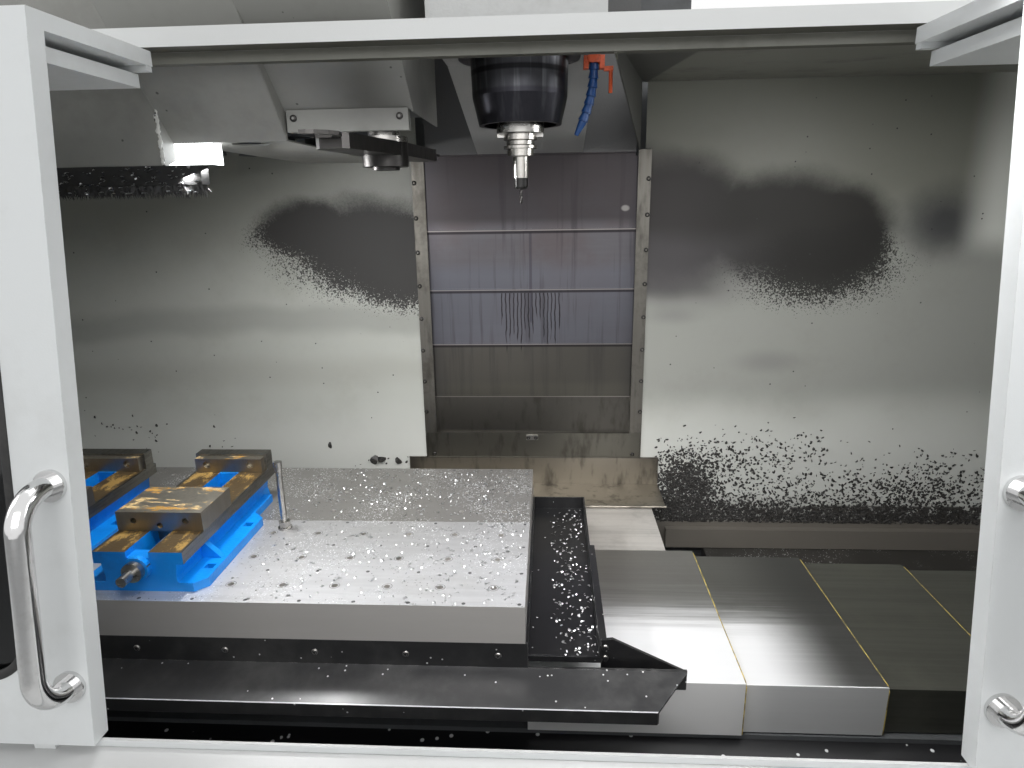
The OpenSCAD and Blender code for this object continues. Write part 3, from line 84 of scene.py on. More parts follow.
def photo_camera():
    """Pinhole camera: a turn about Z, then a tilt down, then a slight roll."""
    yaw, pitch, roll = (math.radians(a) for a in (CAMERA_YAW, CAMERA_PITCH, CAMERA_ROLL))
    forward = Vector((-math.sin(yaw) * math.cos(pitch), math.cos(yaw) * math.cos(pitch),
                      -math.sin(pitch)))
    right = Vector((math.cos(yaw), math.sin(yaw), 0))
    down = forward.cross(right)
    rolled_right = math.cos(roll) * right + math.sin(roll) * down
    rolled_down = -math.sin(roll) * right + math.cos(roll) * down
    camera = bpy.data.objects.new("photo_camera", bpy.data.cameras.new("photo_camera"))
    camera.data.sensor_width = 36
    camera.data.lens = FOCAL_LENGTH / PICTURE_WIDTH * camera.data.sensor_width
    camera.data.clip_start = 0.02
    turn = Matrix((rolled_right, -rolled_down, -forward)).transposed().to_4x4()
    camera.matrix_world = Matrix.Translation(CAMERA_AT) @ turn
    bpy.context.scene.collection.objects.link(camera)
    bpy.context.scene.camera = camera


photo_camera()


# Values and nodes
class Value:
    """One output of a node. Signs between values, or between a value and a number, add maths nodes
    to its tree."""

    def __init__(self, socket):
        self.socket = socket
        self.tree = socket.id_data

    def __add__(self, other):
        return maths("ADD", self, other)

    def __sub__(self, other):
        return maths("SUBTRACT", self, other)

    def __rsub__(self, other):
        return maths("SUBTRACT", other, self)

    def __mul__(self, other):
        return maths("MULTIPLY", self, other)

    def __lt__(self, other):
        return maths("LESS_THAN", self, other)

    def __gt__(self, other):
        return maths("GREATER_THAN", self, other)

    def __abs__(self):
        return maths("ABSOLUTE", self)


def put(value, socket):
    """Links a Value to an input, or writes a number, a vector or a colour into it."""
    if isinstance(value, Value):
        socket.id_data.links.new(value.socket, socket)
    else:
        socket.default_value = value


def place(tree, kind, inputs, **settings):
    """Adds a node with its settings, then its inputs."""
    node = tree.nodes.new(kind)
    for key, value in settings.items():
        setattr(node, key, value)
    for key, value in inputs.items():
        put(value, node.inputs[key])
    return node


def output_of(tree, kind, inputs, output=0, **settings):
    """Adds a node and gives one of its outputs."""
    return Value(place(tree, kind, inputs, **settings).outputs[output])


def maths(operation, *terms):
    """A maths node in the tree of the first Value among its terms."""
    tree = next(term.tree for term in terms if isinstance(term, Value))
    return output_of(tree, "ShaderNodeMath", dict(enumerate(terms)), operation=operation)


def scaled(point, scale, offset=(0, 0, 0)):
    """The point times a scale, plus an offset."""
    inputs = {"Vector": point, "Scale": scale, "Location": offset}
    return output_of(point.tree, "ShaderNodeMapping", inputs)


def noise(point, scale, detail=4.0, rough=0.55):
    """Smooth noise between 0 and 1."""
    inputs = {"Vector": point, "Scale": scale, "Detail": detail, "Roughness": rough}
    return output_of(point.tree, "ShaderNodeTexNoise", inputs)


def ramp(value, low, high, to_low=0.0, to_high=1.0):
    """Runs smoothly from to_low to to_high while the value runs from low to high, which may be the
    smaller of the two."""
    inputs = {"Value": value, "From Min": low, "From Max": high, "To Min": to_low, "To Max": to_high}
    return output_of(value.tree, "ShaderNodeMapRange", inputs, interpolation_type="SMOOTHSTEP")


def band(value, low, high, soft):
    """1 between low and high, falling off over soft outside them."""
    return ramp(value, low - soft, low) * ramp(value, high + soft, high)


def mixed(mask, under, over):
    """The number under where the mask is 0, and the number over where it is 1."""
    return output_of(mask.tree, "ShaderNodeMix", {0: mask, 2: under, 3: over}, data_type="FLOAT")


def axis(point, index):
    """X, Y or Z of a point."""
    return output_of(point.tree, "ShaderNodeSeparateXYZ", {0: point}, index)


def axes(point):
    """X, Y and Z of a point."""
    return [axis(point, index) for index in range(3)]


def facing(point, index):
    """X, Y or Z of the face's normal: near 1 or -1 on the faces that look that way."""
    return axis(output_of(point.tree, "ShaderNodeNewGeometry", {}, "True Normal"), index)


# Shared effects
def group(name, fill, output="Mask", point="Vector", **numbers):
    """A node group with named sockets: a point, numbers with their usual values, and one output,
    which fill works out from them in that order."""
    tree = bpy.data.node_groups.new(name, "ShaderNodeTree")
    tree.interface.new_socket(point, in_out="INPUT", socket_type="NodeSocketVector")
    for label, usual in numbers.items():
        socket = tree.interface.new_socket(label, in_out="INPUT", socket_type="NodeSocketFloat")
        socket.default_value = usual
    tree.interface.new_socket(output, in_out="OUTPUT", socket_type="NodeSocketFloat")
    source = tree.nodes.new("NodeGroupInput").outputs
    result = fill(*(Value(source[label]) for label in (point, *numbers)))
    put(result, tree.nodes.new("NodeGroupOutput").inputs[output])
    return tree


def use(shared, point, **numbers):
    """Places a shared group with the material's own numbers."""
    return output_of(point.tree, "ShaderNodeGroup", {0: point, **numbers}, node_tree=shared)


def grime_patches(point, scale, low, high):
    """Two noises of different size, cut to patches between low and high."""
    wide = noise(point, scale, 5.0, 0.6)
    fine = noise(point, scale * 9.0, 3.0, 0.6)
    return ramp(wide * 0.75 + fine * 0.25, low, high)


def edge_wear(point, width, scale):
    """Where the rounded normal leaves the true one there is an edge; noise breaks it up."""
    soft = output_of(point.tree, "ShaderNodeBevel", {"Radius": width}, samples=2)
    hard = output_of(point.tree, "ShaderNodeNewGeometry", {}, "Normal")
    same = output_of(point.tree, "ShaderNodeVectorMath", {0: soft, 1: hard}, 1, operation="DOT_PRODUCT")
    return ramp(same, 0.995, 0.86) * ramp(noise(point, scale, 4.0), 0.42, 0.62)


def speckle(point, scale, size, share):
    """Cells, a share of them kept, each with a small fleck near its middle."""
    cells = place(point.tree, "ShaderNodeTexVoronoi", {"Vector": point, "Scale": scale}).outputs
    near = ramp(Value(cells["Distance"]), size, size * 0.7)
    pick = output_of(point.tree, "ShaderNodeSeparateColor", {0: Value(cells["Color"])})
    return near * (pick < share)


def soot_cloud(point, away, torn, grit, gritty, soft):
    """Soot round a place: away is 1 on the cloud's outline. Noise tears the outline, and below the
    height gritty a finer one breaks it into grains. Above that height it fades out softly."""
    tear = (noise(point, 6.0, 5.0, 0.6) - 0.5) * torn
    coarse = ramp(axis(point, 2), gritty, gritty - 0.12, 0.12, 1.0)
    grains = (noise(point, 230.0, 3.0, 0.7) - 0.5) * grit * coarse
    core = 1.0 - soft * (1.15 - coarse)
    return ramp(away + tear + grains, 1.02, core)


def brushed_streaks(point, scale):
    """Fine streaks: noise read through a stretched point, coarse and fine together."""
    return noise(point, scale, 5.0, 0.7) * 0.6 + noise(point, scale * 5.0, 3.0, 0.7) * 0.4


GRIME = group("grime patches", grime_patches, Scale=4.0, Low=0.5, High=0.7)
WEAR = group("edge wear", edge_wear, Width=0.002, Scale=30.0)
SPECKLE = group("speckle", speckle, Scale=200.0, Size=0.3, Share=0.1)
CLOUD = group("soot cloud", soot_cloud, Away=1.0, Torn=0.5, Grit=2.0, Gritty=1.5, Soft=0.5)
BRUSHED = group("brushed streaks", brushed_streaks, "Streak", "Stretched", Scale=4.0)

# Kinds of finish
FINISHES = {}


def finish(name, colour, roughness, metallic=0.0, marks=None, bump=None, **fixed):
    """A Principled material. marks(point) gives (mask, colour, roughness) or (mask, colour,
    roughness, metallic) to lay over the base in turn, and bump(point) gives (height, metres)."""
    material = bpy.data.materials.new(name)
    material.use_nodes = True
    tree = material.node_tree
    shader = tree.nodes["Principled BSDF"]
    point = output_of(tree, "ShaderNodeTexCoord", {}, "Object")
    tone, rough, metal = (*colour, 1.0), roughness, metallic
    for mask, over, over_rough, *over_metal in marks(point) if marks else []:
        layer = {"Factor": mask, 6: tone, 7: (*over, 1.0)}
        tone = output_of(tree, "ShaderNodeMix", layer, 2, data_type="RGBA")
        rough = mixed(mask, rough, over_rough)
        if over_metal:
            metal = mixed(mask, metal, over_metal[0])
    for key, value in (("Base Color", tone), ("Roughness", rough), ("Metallic", metal)):
        put(value, shader.inputs[key])
    if bump:
        height, distance = bump(point)
        relief = {"Height": height, "Distance": distance, "Strength": 1.0}
        put(output_of(tree, "ShaderNodeBump", relief), shader.inputs["Normal"])
    for key, value in fixed.items():
        shader.inputs[key.replace("_", " ")].default_value = value
    FINISHES[name] = material
    return material


def orange_peel(point):
    """Height and depth of sprayed paint's skin."""
    return noise(point, 420.0, 2.0), 0.00012


def cast_skin(point):
    """Height and depth of a painted casting's skin."""
    return noise(point, 160.0, 4.0), 0.0006


def enamel(name, colour, roughness, dirt, share=0.35, chips=None, width=0.0015, skin=orange_peel,
           extra=None):
    """Sprayed paint: faint patches of dirt, the piece's own marks, then bare or primed edges."""
    def marks(point):
        patches = use(GRIME, point, Scale=5.0, Low=0.46, High=0.72)
        over = [(patches * share, dirt, min(roughness + 0.2, 0.9))]
        if extra:
            over += extra(point)
        if chips:
            over.append((use(WEAR, point, Width=width, Scale=45.0), chips, 0.5))
        return over
    return finish(name, colour, roughness, marks=marks, bump=skin)


def steel(name, colour, roughness, stretch, streaks=0.35, smear=(0.2, 0.19, 0.17), share=0.4,
          extra=None, scale=5.0, metallic=1.0, depth=0.00006):
    """Ground or brushed steel: streaks along one way, oily smears, then the piece's own marks."""
    def marks(point):
        drawn = use(BRUSHED, scaled(point, stretch), Scale=scale)
        oily = use(GRIME, point, Scale=6.0, Low=0.48, High=0.7)
        over = [(ramp(drawn, 0.42, 0.6) * streaks, tuple(c * 0.55 for c in colour), roughness + 0.12),
                (oily * share, smear, roughness + 0.15)]
        return over + (extra(point) if extra else [])

    def scratches(point):
        return use(BRUSHED, scaled(point, stretch), Scale=scale * 2), depth
    return finish(name, colour, roughness, metallic, marks, scratches)


def soiled(scale, low, high, share, colour, roughness):
    """Marks of a plain finish: one layer of grime."""
    return lambda point: [(use(GRIME, point, Scale=scale, Low=low, High=high) * share, colour, roughness)]


def mottled(colour, roughness):
    """Marks of a chip's finish: fine noise."""
    return lambda point: [(ramp(noise(point, 300.0, 2.0), 0.4, 0.6), colour, roughness)]


# Marks of the back wall: an oval is its middle's X and Z, then its half width and half height. A
# cloud is its ovals, how torn and how gritty it is, the height below which it is gritty, how
# softly it ends, how much it covers, and its colour.
WALL_CLOUDS = (
    (((-0.46, 1.500, 0.30, 0.165), (-0.66, 1.545, 0.19, 0.10), (-0.40, 1.43, 0.20, 0.125)),
     0.55, 1.7, 1.60, 0.45, 0.97, (0.022, 0.020, 0.019)),
    (((0.42, 1.545, 0.29, 0.225), (0.70, 1.535, 0.37, 0.180), (0.86, 1.515, 0.22, 0.165)),
     0.35, 0.5, 1.0, 0.42, 0.99, (0.014, 0.0125, 0.010)),
    (((0.84, 1.425, 0.20, 0.105), (0.95, 1.46, 0.10, 0.10)),
     0.6, 3.0, 1.55, 0.3, 0.97, (0.013, 0.012, 0.010)),
    (((1.18, 1.535, 0.19, 0.14),), 0.5, 0.6, 1.3, 0.9, 0.85, (0.020, 0.020, 0.026)),
    (((0.43, 1.275, 0.12, 0.04), (0.73, 1.13, 0.16, 0.05)),
     0.5, 0.8, 1.0, 1.0, 0.30, (0.10, 0.095, 0.10)),
)


def away_from(point, ovals):
    """Distance to the nearest oval, as a share of its size: 1 on its outline."""
    nearest = None
    for x, z, wide, tall in ovals:
        flat = scaled(point, (1 / wide, 0.0, 1 / tall), (-x / wide, 0.0, -z / tall))
        reach = output_of(point.tree, "ShaderNodeVectorMath", {0: flat}, 1, operation="LENGTH")
        nearest = reach if nearest is None else maths("MINIMUM", nearest, reach)
    return nearest


def wall_painted_shading(x, level):
    """Painted shade on the upper wall, soft darker bands on both sides of the cover, and painted light that
    makes the wall paler below.
    """
    left, right = ramp(x, 0.0, -0.2), ramp(x, 0.0, 0.2)
    # Painted shade on the upper wall comes first, then the soft bands
    return [(left * ramp(level, 1.30, 1.62) * 0.62, (0.17, 0.17, 0.145), 0.5),
            (right * ramp(level, 1.36, 1.66) * 0.80, (0.13, 0.13, 0.10), 0.5),
            (left * band(level, 1.245, 1.275, 0.05) * 0.5, (0.26, 0.26, 0.24), 0.5),
            (left * band(level, 1.09, 1.10, 0.07) * 0.3, (0.30, 0.285, 0.25), 0.5),
            (right * band(level, 1.08, 1.40, 0.14) * 0.55, (0.23, 0.23, 0.21), 0.5),
            # Painted light: the wall is paler below
            (ramp(level, 1.06, 0.84) * 0.6, (0.72, 0.725, 0.69), 0.36)]


def wall_soot(point):
    """The clouds of soot, each laid over the one before."""
    marks = []
    for ovals, torn, grit, gritty, soft, share, colour in WALL_CLOUDS:
        away = away_from(point, ovals)
        soot = use(CLOUD, point, Away=away, Torn=torn, Grit=grit, Gritty=gritty, Soft=soft)
        marks.append((soot * share, colour, 0.6))
    return marks


def wall_glare_and_grit(point, x, z, level):
    """Painted glare at the right edge, a crust low on the right, violet and grey haze beside the cover, and
    scattered grains."""
    right = ramp(x, 0.0, 0.2)
    # Painted light: a pale glare on the wall's right edge
    glare = ramp(x, 1.20, 1.33) * ramp(level, 1.42, 1.52) * 0.85
    crust_top = z + ramp(x, 1.0, 0.6) * 0.02
    crust = (right * ramp(noise(point, 45.0, 4.0, 0.7), 0.44, 0.47) * ramp(crust_top, 0.655, 0.645)
             * ramp(x, 0.66, 0.74))
    violet = right * ramp(x, 0.62, 0.40) * band(level, 1.36, 1.72, 0.05) * 0.55
    haze = right * ramp(x, 0.78, 0.40) * band(level, 1.36, 1.46, 0.09) * 0.75
    grains = use(SPECKLE, scaled(point, (1, 0.05, 1)), Scale=75.0, Size=0.2, Share=0.02)
    return [(glare, (0.80, 0.81, 0.75), 0.4), (crust, (0.035, 0.032, 0.028), 0.5),
            (violet, (0.052, 0.045, 0.046), 0.55), (haze, (0.080, 0.074, 0.078), 0.5),
            (grains, (0.03, 0.03, 0.03), 0.5)]


def wall_marks(point):
    """Painted shade and light with soft bands, soot, painted glare and grit on the faces that look into the
    work area, and the wall's brown foot.
    """
    x, z = axis(point, 0), axis(point, 2)
    level = z + (noise(point, 2.5, 3.0) - 0.5) * 0.12
    inner = facing(point, 1) < -0.5
    marks = wall_painted_shading(x, level) + wall_soot(point) + wall_glare_and_grit(point, x, z, level)
    marks = [(mask * inner, colour, rough) for mask, colour, rough in marks]
    return marks + [(ramp(z, 0.605, 0.585), (0.17, 0.155, 0.13), 0.45),
                    (ramp(level, 0.70, 0.60) * ramp(x, 0.0, 0.2) * 0.35, (0.12, 0.11, 0.10), 0.5)]


# Marks of the other painted pieces
def ledge_grey(point):
    """A grey tone on the upward faces of the sill's ledge."""
    ledge = (facing(point, 2) > 0.3) * band(axis(point, 2), 0.86, 0.93, 0.01)
    return [(ledge * 0.85, (0.46, 0.46, 0.455), 0.4)]


def guard_marks(point):
    """Dirt on the sheets, a shade under the slope, a black strip and scattered black flecks."""
    soft = use(GRIME, point, Scale=3.0, Low=0.5, High=0.75)
    shade = away_from(point, [(-0.25, 1.80, 0.16, 0.06)])
    low = use(CLOUD, point, Away=shade, Torn=0.8, Grit=0.4, Gritty=1.0, Soft=0.9)
    flecks = use(SPECKLE, point, Scale=75.0, Size=0.22, Share=0.05)
    return [(soft * 0.4, (0.13, 0.125, 0.115), 0.6), (low * 0.4, (0.06, 0.055, 0.055), 0.5),
            (ramp(axis(point, 2), 1.6895, 1.6885), (0.012, 0.012, 0.012), 0.6),
            (flecks * 0.7, (0.02, 0.02, 0.02), 0.5)]


def roof_marks(point):
    """White front of the beam, its brown underside, the dark plate over the spindle and soot in
    the corner over the column cover."""
    x, y, z = axes(point)
    lip = ramp(y, -0.789, -0.790) * (facing(point, 1) < 0.5) * (facing(point, 2) > -0.5)
    under = ramp(y, -0.760, -0.770) * (facing(point, 2) < -0.5)
    plate = ramp(x, 0.33, 0.32) * ramp(y, -0.76, -0.75) * 0.85
    corner = ramp(x, 0.62, 0.56) * ramp(y, -0.10, 0.02)
    soot = use(SPECKLE, point, Scale=150.0, Size=0.4, Share=0.3)
    return [(lip * ramp(z, 1.8545, 1.8552), (0.74, 0.75, 0.74), 0.35), (under, (0.09, 0.088, 0.070), 0.5),
            (plate, (0.055, 0.055, 0.052), 0.5), (corner * soot, (0.02, 0.02, 0.018), 0.6)]


def head_painted_shade(point):
    """Painted shade: the carriage and the back of the head are painted a dull dark grey, and the head's
    underside a dull grey.
    """
    back = ramp(axis(point, 1), -0.12, -0.02)
    under = (facing(point, 2) < -0.5) * 0.8
    return [(back, (0.105, 0.105, 0.105), 0.5), (under, (0.30, 0.30, 0.29), 0.5)]


def loose_chips(point):
    """Scattered white chips."""
    return [(use(SPECKLE, point, Scale=140.0, Size=0.28, Share=0.03), (0.6, 0.6, 0.6), 0.4)]


def many_chips(point):
    """White chips, thicker in drifts."""
    drift = ramp(noise(point, 5.0, 3.0), 0.45, 0.62)
    flecks = use(SPECKLE, point, Scale=210.0, Size=0.36, Share=0.25)
    return [(drift * flecks, (0.65, 0.65, 0.65), 0.4)]


def apron_chips_and_highlight(point):
    """A few chips, and a painted highlight: a bright line along the fold where the apron's top turns down.
    """
    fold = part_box("front_apron")[0][1]
    # Painted highlight along the fold
    line = band(axis(point, 1), fold, fold + 0.0016, 0.0012) * (facing(point, 2) > 0.3)
    return loose_chips(point) + [(line * 0.85, (0.55, 0.55, 0.57), 0.25)]


def vise_steel(point):
    """Ground steel on the bed's ways, on its skirts and on the fixed jaw; golden stains on the ways.
    Both vises read one middle, because X wraps round at their pitch."""
    x, y, z = axes(point)
    middle_x = maths("WRAP", x, VISE_X + VISE_PITCH / 2, VISE_X - VISE_PITCH / 2)
    off = abs(middle_x - VISE_X)
    front = (y < -0.8775) * (facing(point, 1) < -0.5)
    bed = ramp(z, 0.9812, 0.9818) * ramp(off, 0.0222, 0.0228) * (1.0 - front)
    jaw = ramp(z, 1.0062, 1.0066)
    ground = maths("MAXIMUM", bed, jaw)
    ways = bed * (facing(point, 2) > 0.5) * ramp(off, 0.0815, 0.0800) * (1.0 - jaw)
    streak = use(BRUSHED, scaled(point, (1, 0.12, 1)), Scale=30.0)
    gold = use(GRIME, scaled(point, (1, 0.5, 1)), Scale=40.0, Low=0.50, High=0.58)
    return [(ground, (0.24, 0.23, 0.205), 0.36, 1.0),
            (ground * ramp(streak, 0.42, 0.6) * 0.5, (0.08, 0.075, 0.065), 0.42),
            (ways * 0.85, (0.20, 0.13, 0.055), 0.4, 0.7),
            (ways * gold, (0.60, 0.38, 0.12), 0.4, 0.5)]


# Marks of the steel pieces
def hole_distance(x, y, shift_x, shift_y):
    """Distance to the nearest point of a square grid: both ways wrap round at the holes' pitch."""
    half = HOLE_PITCH / 2
    across, deep = (maths("WRAP", part, half, -half) for part in (x + shift_x, y + shift_y))
    return maths("SQRT", across * across + deep * deep)


def plate_marks(point):
    """Painted shade that darkens the front plate towards the back, the rear plate painted dull and dark for
    the dark wall it reflects, the dull sides, rings round the large holes, small dark holes between them
    and fine chips."""
    x, y = axis(point, 0), axis(point, 1)
    top = facing(point, 2) > 0.5
    large, small = hole_distance(x, y, 0.05, 0.0506), hole_distance(x, y, 0.0, 0.0006)
    # Painted shade towards the back of the front plate, then a painted reflection that darkens the rear
    # plate
    marks = [(top * ramp(y, -0.86, -0.60, 0.0, 0.5), (0.31, 0.305, 0.295), 0.42),
             (top * ramp(y, -0.5925, -0.5918) * 0.75, (0.20, 0.19, 0.17), 0.42),
             ((1.0 - top) * 0.85, (0.62, 0.59, 0.56), 0.38),
             ((large < 0.0100) * (large > 0.0086) * top, (0.25, 0.25, 0.24), 0.35),
             ((small < 0.0036) * top, (0.12, 0.12, 0.12), 0.35)]
    drift = ramp(noise(point, 9.0, 3.0), 0.42, 0.62)
    for scale, size, share in ((330.0, 0.42, 0.30), (190.0, 0.34, 0.16)):
        chips = use(SPECKLE, point, Scale=scale, Size=size, Share=share)
        marks.append((chips * top * drift, (0.85, 0.86, 0.87), 0.4, 0.3))
    dark = use(SPECKLE, point, Scale=210.0, Size=0.32, Share=0.10)
    return marks + [(dark * top * 0.7, (0.10, 0.10, 0.10), 0.4)]


def cover_tones(point, x, z):
    """Violet steel above, bluer in the middle, brown-black on the two lowest plates."""
    cloudy = noise(scaled(point, (1, 1, 1.6)), 4.0, 4.0)
    upright = noise(scaled(point, (1, 1, 0.04)), 40.0, 4.0, 0.6)
    return [(ramp(cloudy, 0.42, 0.62) * 0.5, (0.13, 0.105, 0.105), 0.4),
            (ramp(z, 1.53, 1.57) * 0.8, (0.055, 0.050, 0.052), 0.4),
            (band(z, 1.20, 1.40, 0.05) * 0.55, (0.165, 0.172, 0.205), 0.36),
            (ramp(z, 1.186, 1.182) * 0.93, (0.10, 0.095, 0.083), 0.42),
            (band(z, 1.02, 1.045, 0.03) * 0.5, (0.13, 0.125, 0.105), 0.4),
            (band(z, 0.95, 1.0, 0.015) * ramp(cloudy, 0.4, 0.6) * 0.8, (0.025, 0.022, 0.018), 0.4),
            (ramp(upright, 0.52, 0.68) * ramp(z, 1.0, 1.3, 0.2, 0.45), (0.05, 0.045, 0.05), 0.45),
            (ramp(abs(x), 0.25, 0.33) * 0.4, (0.05, 0.048, 0.055), 0.45)]


def cover_runs_and_highlight(point, x, z):
    """Thin black runs on the third plate, one long run above them and a painted highlight spot: the runs
    are lines of X at one spacing, bent by noise, whose feet end at a noisy height."""
    long_noise = noise(scaled(point, (1, 1, 0.018)), 115.0, 0.0)
    crooked = x + noise(point, 18.0, 2.0) * 0.012
    spacing = maths("PINGPONG", crooked + 1.0, 0.0058)
    foot = long_noise * 0.22 + 1.10
    runs = (ramp(spacing, 0.0021, 0.0009) * band(x, -0.095, 0.092, 0.004) * ramp(z, 1.346, 1.344)
            * ramp(z - foot, 0.0, 0.02))
    long_run = band(x, -0.004, 0.001, 0.003) * band(z, 1.26, 1.52, 0.01) * 0.5
    # Painted highlight: a small pale spot on the top plate
    from_spot = away_from(point, [(0.275, 1.59, 0.014, 0.010)])
    spot = use(CLOUD, point, Away=from_spot, Torn=0.5, Grit=0.3, Gritty=1.0, Soft=0.5)
    return [(runs * 0.9, (0.02, 0.018, 0.02), 0.4), (long_run, (0.05, 0.045, 0.06), 0.4),
            (spot, (0.26, 0.25, 0.24), 0.4)]


def cover_drips_and_shading(point):
    """Tones, runs and highlight spot of the column cover, then a painted shadow just under each plate's
    foot and a light line just above it.
    """
    x, z = axis(point, 0), axis(point, 2)
    marks = cover_tones(point, x, z) + cover_runs_and_highlight(point, x, z)
    for low in PLATE_BOTTOMS:
        # Painted shadow: the plate above casts a dark line under its foot
        shadow_line = band(z, low - 0.006, low - 0.0015, 0.003)
        light_line = band(z, low + 0.001, low + 0.003, 0.0008)
        marks += [(shadow_line * 0.8, (0.03, 0.027, 0.03), 0.5), (light_line * 0.7, (0.36, 0.33, 0.31), 0.35)]
    return marks


def frame_marks(point):
    """The fixed plate and the dull panel below it, a beige band at the foot, dirt down both strips
    and a small bright plate in the middle."""
    x, z = axis(point, 0), axis(point, 2)
    fixed = band(z, 0.8955, 1.11, 0.0005) * ramp(abs(x), 0.3055, 0.3050)
    panel = band(z, 0.8155, 0.895, 0.001) * ramp(abs(x), 0.3455, 0.3450)
    dirt = noise(scaled(point, (1, 1, 0.3)), 30.0, 4.0)
    plate = band(x, -0.020, 0.018, 0.0003) * band(z, 0.874, 0.890, 0.0003)
    return [(fixed * 0.9, (0.105, 0.100, 0.090), 0.4), (panel * 0.9, (0.16, 0.155, 0.135), 0.4),
            (ramp(z, 0.8125, 0.8120) * 0.85, (0.30, 0.275, 0.235), 0.36),
            (ramp(dirt, 0.5, 0.7) * 0.55, (0.05, 0.045, 0.038), 0.45), (plate, (0.45, 0.44, 0.42), 0.35)]


def jaw_stains(point):
    """Long tan and gold oxide stains on top of the jaws, brown on their faces."""
    top = facing(point, 2) > 0.5
    gold = use(GRIME, scaled(point, (0.45, 1.3, 1)), Scale=24.0, Low=0.555, High=0.58)
    pale = use(GRIME, scaled(point, (0.5, 1.3, 1), (2, 1, 0)), Scale=34.0, Low=0.57, High=0.60)
    return [((1.0 - top) * 0.7, (0.20, 0.175, 0.14), 0.4),
            (gold * top * 0.95, (0.66, 0.36, 0.08), 0.42, 0.4),
            (pale * top, (0.85, 0.60, 0.28), 0.4, 0.3)]


def cover_painted_reflections(point):
    """Way covers with painted reflections: dark and dull at the back, a painted sheen bright towards the
    front, and a painted highlight line along the front edge of the top. The second cover is also painted
    darker towards its outer end, and the front faces are painted lighter towards the left. X tells the
    second cover from the first, which is a step higher and reaches a step further to the front."""
    x, y = axis(point, 0), axis(point, 1)
    top, front = facing(point, 2) > 0.5, facing(point, 1) < -0.5
    streak = use(BRUSHED, scaled(point, (0.02, 1.0, 1.0)), Scale=30.0)
    swayed = y + (streak - 0.5) * 0.22
    back = ramp(swayed, -0.66, -0.48)
    outer_end_shade = ramp(x, 0.47, 0.50) * ramp(x, 0.47, 0.66)
    second = x > 0.428
    sheen = top * ramp(swayed, -0.56, -0.70) * (1.0 - outer_end_shade)
    line = top * ramp(y - second * COVER_STEP, -0.8435, -0.8440) * 0.9
    # Painted reflections, painted sheen and a painted highlight line
    return [(top * back * 0.85, (0.34, 0.33, 0.315), 0.42),
            (top * back * (second * 0.6), (0.16, 0.16, 0.15), 0.42),
            (top * outer_end_shade * 0.85, (0.13, 0.13, 0.125), 0.4),
            (sheen * 0.92, (0.95, 0.95, 0.96), 0.36, 0.35), (front * 0.9, (0.62, 0.62, 0.62), 0.4, 0.2),
            (front * ramp(x, 0.50, 0.40) * 0.8, (0.85, 0.84, 0.83), 0.4, 0.2),
            (line, (0.95, 0.95, 0.95), 0.3, 0.3)]


def skirt_marks(point):
    """The low skirt in front of the table's covers is black, with white chips."""
    low = ramp(axis(point, 1), -0.835, -0.84) * ramp(axis(point, 2), 0.602, 0.600)
    flecks = use(SPECKLE, point, Scale=70.0, Size=0.33, Share=0.08)
    return [(low, (0.008, 0.008, 0.009), 0.35, 0.0), (low * flecks, (0.65, 0.65, 0.65), 0.4, 0.0)]


def spindle_bands(point):
    """Dark bands and upright smears on the spindle's cartridge."""
    z = axis(point, 2)
    smear = noise(scaled(point, (1, 1, 0.06)), 55.0, 3.0)
    return [(ramp(smear, 0.50, 0.66) * 0.6, (0.16, 0.165, 0.175), 0.35),
            (band(z, 1.838, 1.843, 0.004) * 0.8, (0.01, 0.01, 0.011), 0.4),
            (band(z, 1.75, 1.805, 0.006) * 0.6, (0.022, 0.021, 0.028), 0.36)]


def collet_nut(point):
    """The nut at the holder's foot is black oxide."""
    return [(band(axis(point, 2), 1.630, 1.6578, 0.0006) * 0.96, (0.02, 0.02, 0.021), 0.35)]


# Finishes of the part's nodes
def dress(nodes, material):
    """Gives every slot of the named nodes one material."""
    for name in nodes.split():
        slots = NODES[name].data.materials
        for index in range(len(slots)):
            slots[index] = material
        if not slots:
            slots.append(material)


dress("front_sill enclosure_sides left_door right_door electrical_cabinet cabinet_door",
      enamel("white enamel", (0.78, 0.80, 0.80), 0.30, (0.5, 0.5, 0.47), 0.2, (0.45, 0.45, 0.44),
             0.0009, extra=ledge_grey))
dress("back_walls",
      enamel("wall paint", (0.47, 0.48, 0.44), 0.36, (0.36, 0.36, 0.32), 0.35, extra=wall_marks))
dress("magazine_guard",
      enamel("guard paint", (0.31, 0.31, 0.29), 0.42, (0.22, 0.22, 0.20), 0.5, (0.12, 0.12, 0.11),
             0.001, extra=guard_marks))
dress("roof_frame",
      enamel("roof paint", (0.20, 0.20, 0.17), 0.42, (0.11, 0.105, 0.09), 0.6, extra=roof_marks))
dress("chip_pans",
      enamel("pan paint", (0.035, 0.033, 0.03), 0.3, (0.10, 0.09, 0.08), 0.5, extra=many_chips))
dress("base_casting saddle table changer_frame magazine_drum column",
      enamel("casting paint", (0.10, 0.105, 0.11), 0.5, (0.05, 0.05, 0.045), 0.5, (0.10, 0.10, 0.10),
             0.002, cast_skin))
dress("head_casting",
      enamel("head paint", (0.66, 0.67, 0.66), 0.4, (0.35, 0.34, 0.31), 0.4, (0.2, 0.2, 0.2), 0.002,
             cast_skin, head_painted_shade))
dress("chip_tray axis_motors spindle_motor",
      enamel("black enamel", (0.008, 0.008, 0.009), 0.30, (0.030, 0.029, 0.028), 0.45,
             (0.25, 0.25, 0.25), 0.001, extra=loose_chips))
dress("front_apron",
      enamel("apron enamel", (0.022, 0.022, 0.023), 0.28, (0.07, 0.069, 0.067), 0.6,
             (0.25, 0.25, 0.25), 0.001, extra=apron_chips_and_highlight))
dress("vise_bodies",
      enamel("blue enamel", (0.004, 0.25, 0.78), 0.3, (0.004, 0.09, 0.40), 0.6, (0.10, 0.22, 0.42),
             0.0012, cast_skin, vise_steel))
dress("pendant",
      enamel("console paint", (0.55, 0.57, 0.58), 0.5, (0.4, 0.4, 0.38), 0.2, (0.3, 0.3, 0.3)))

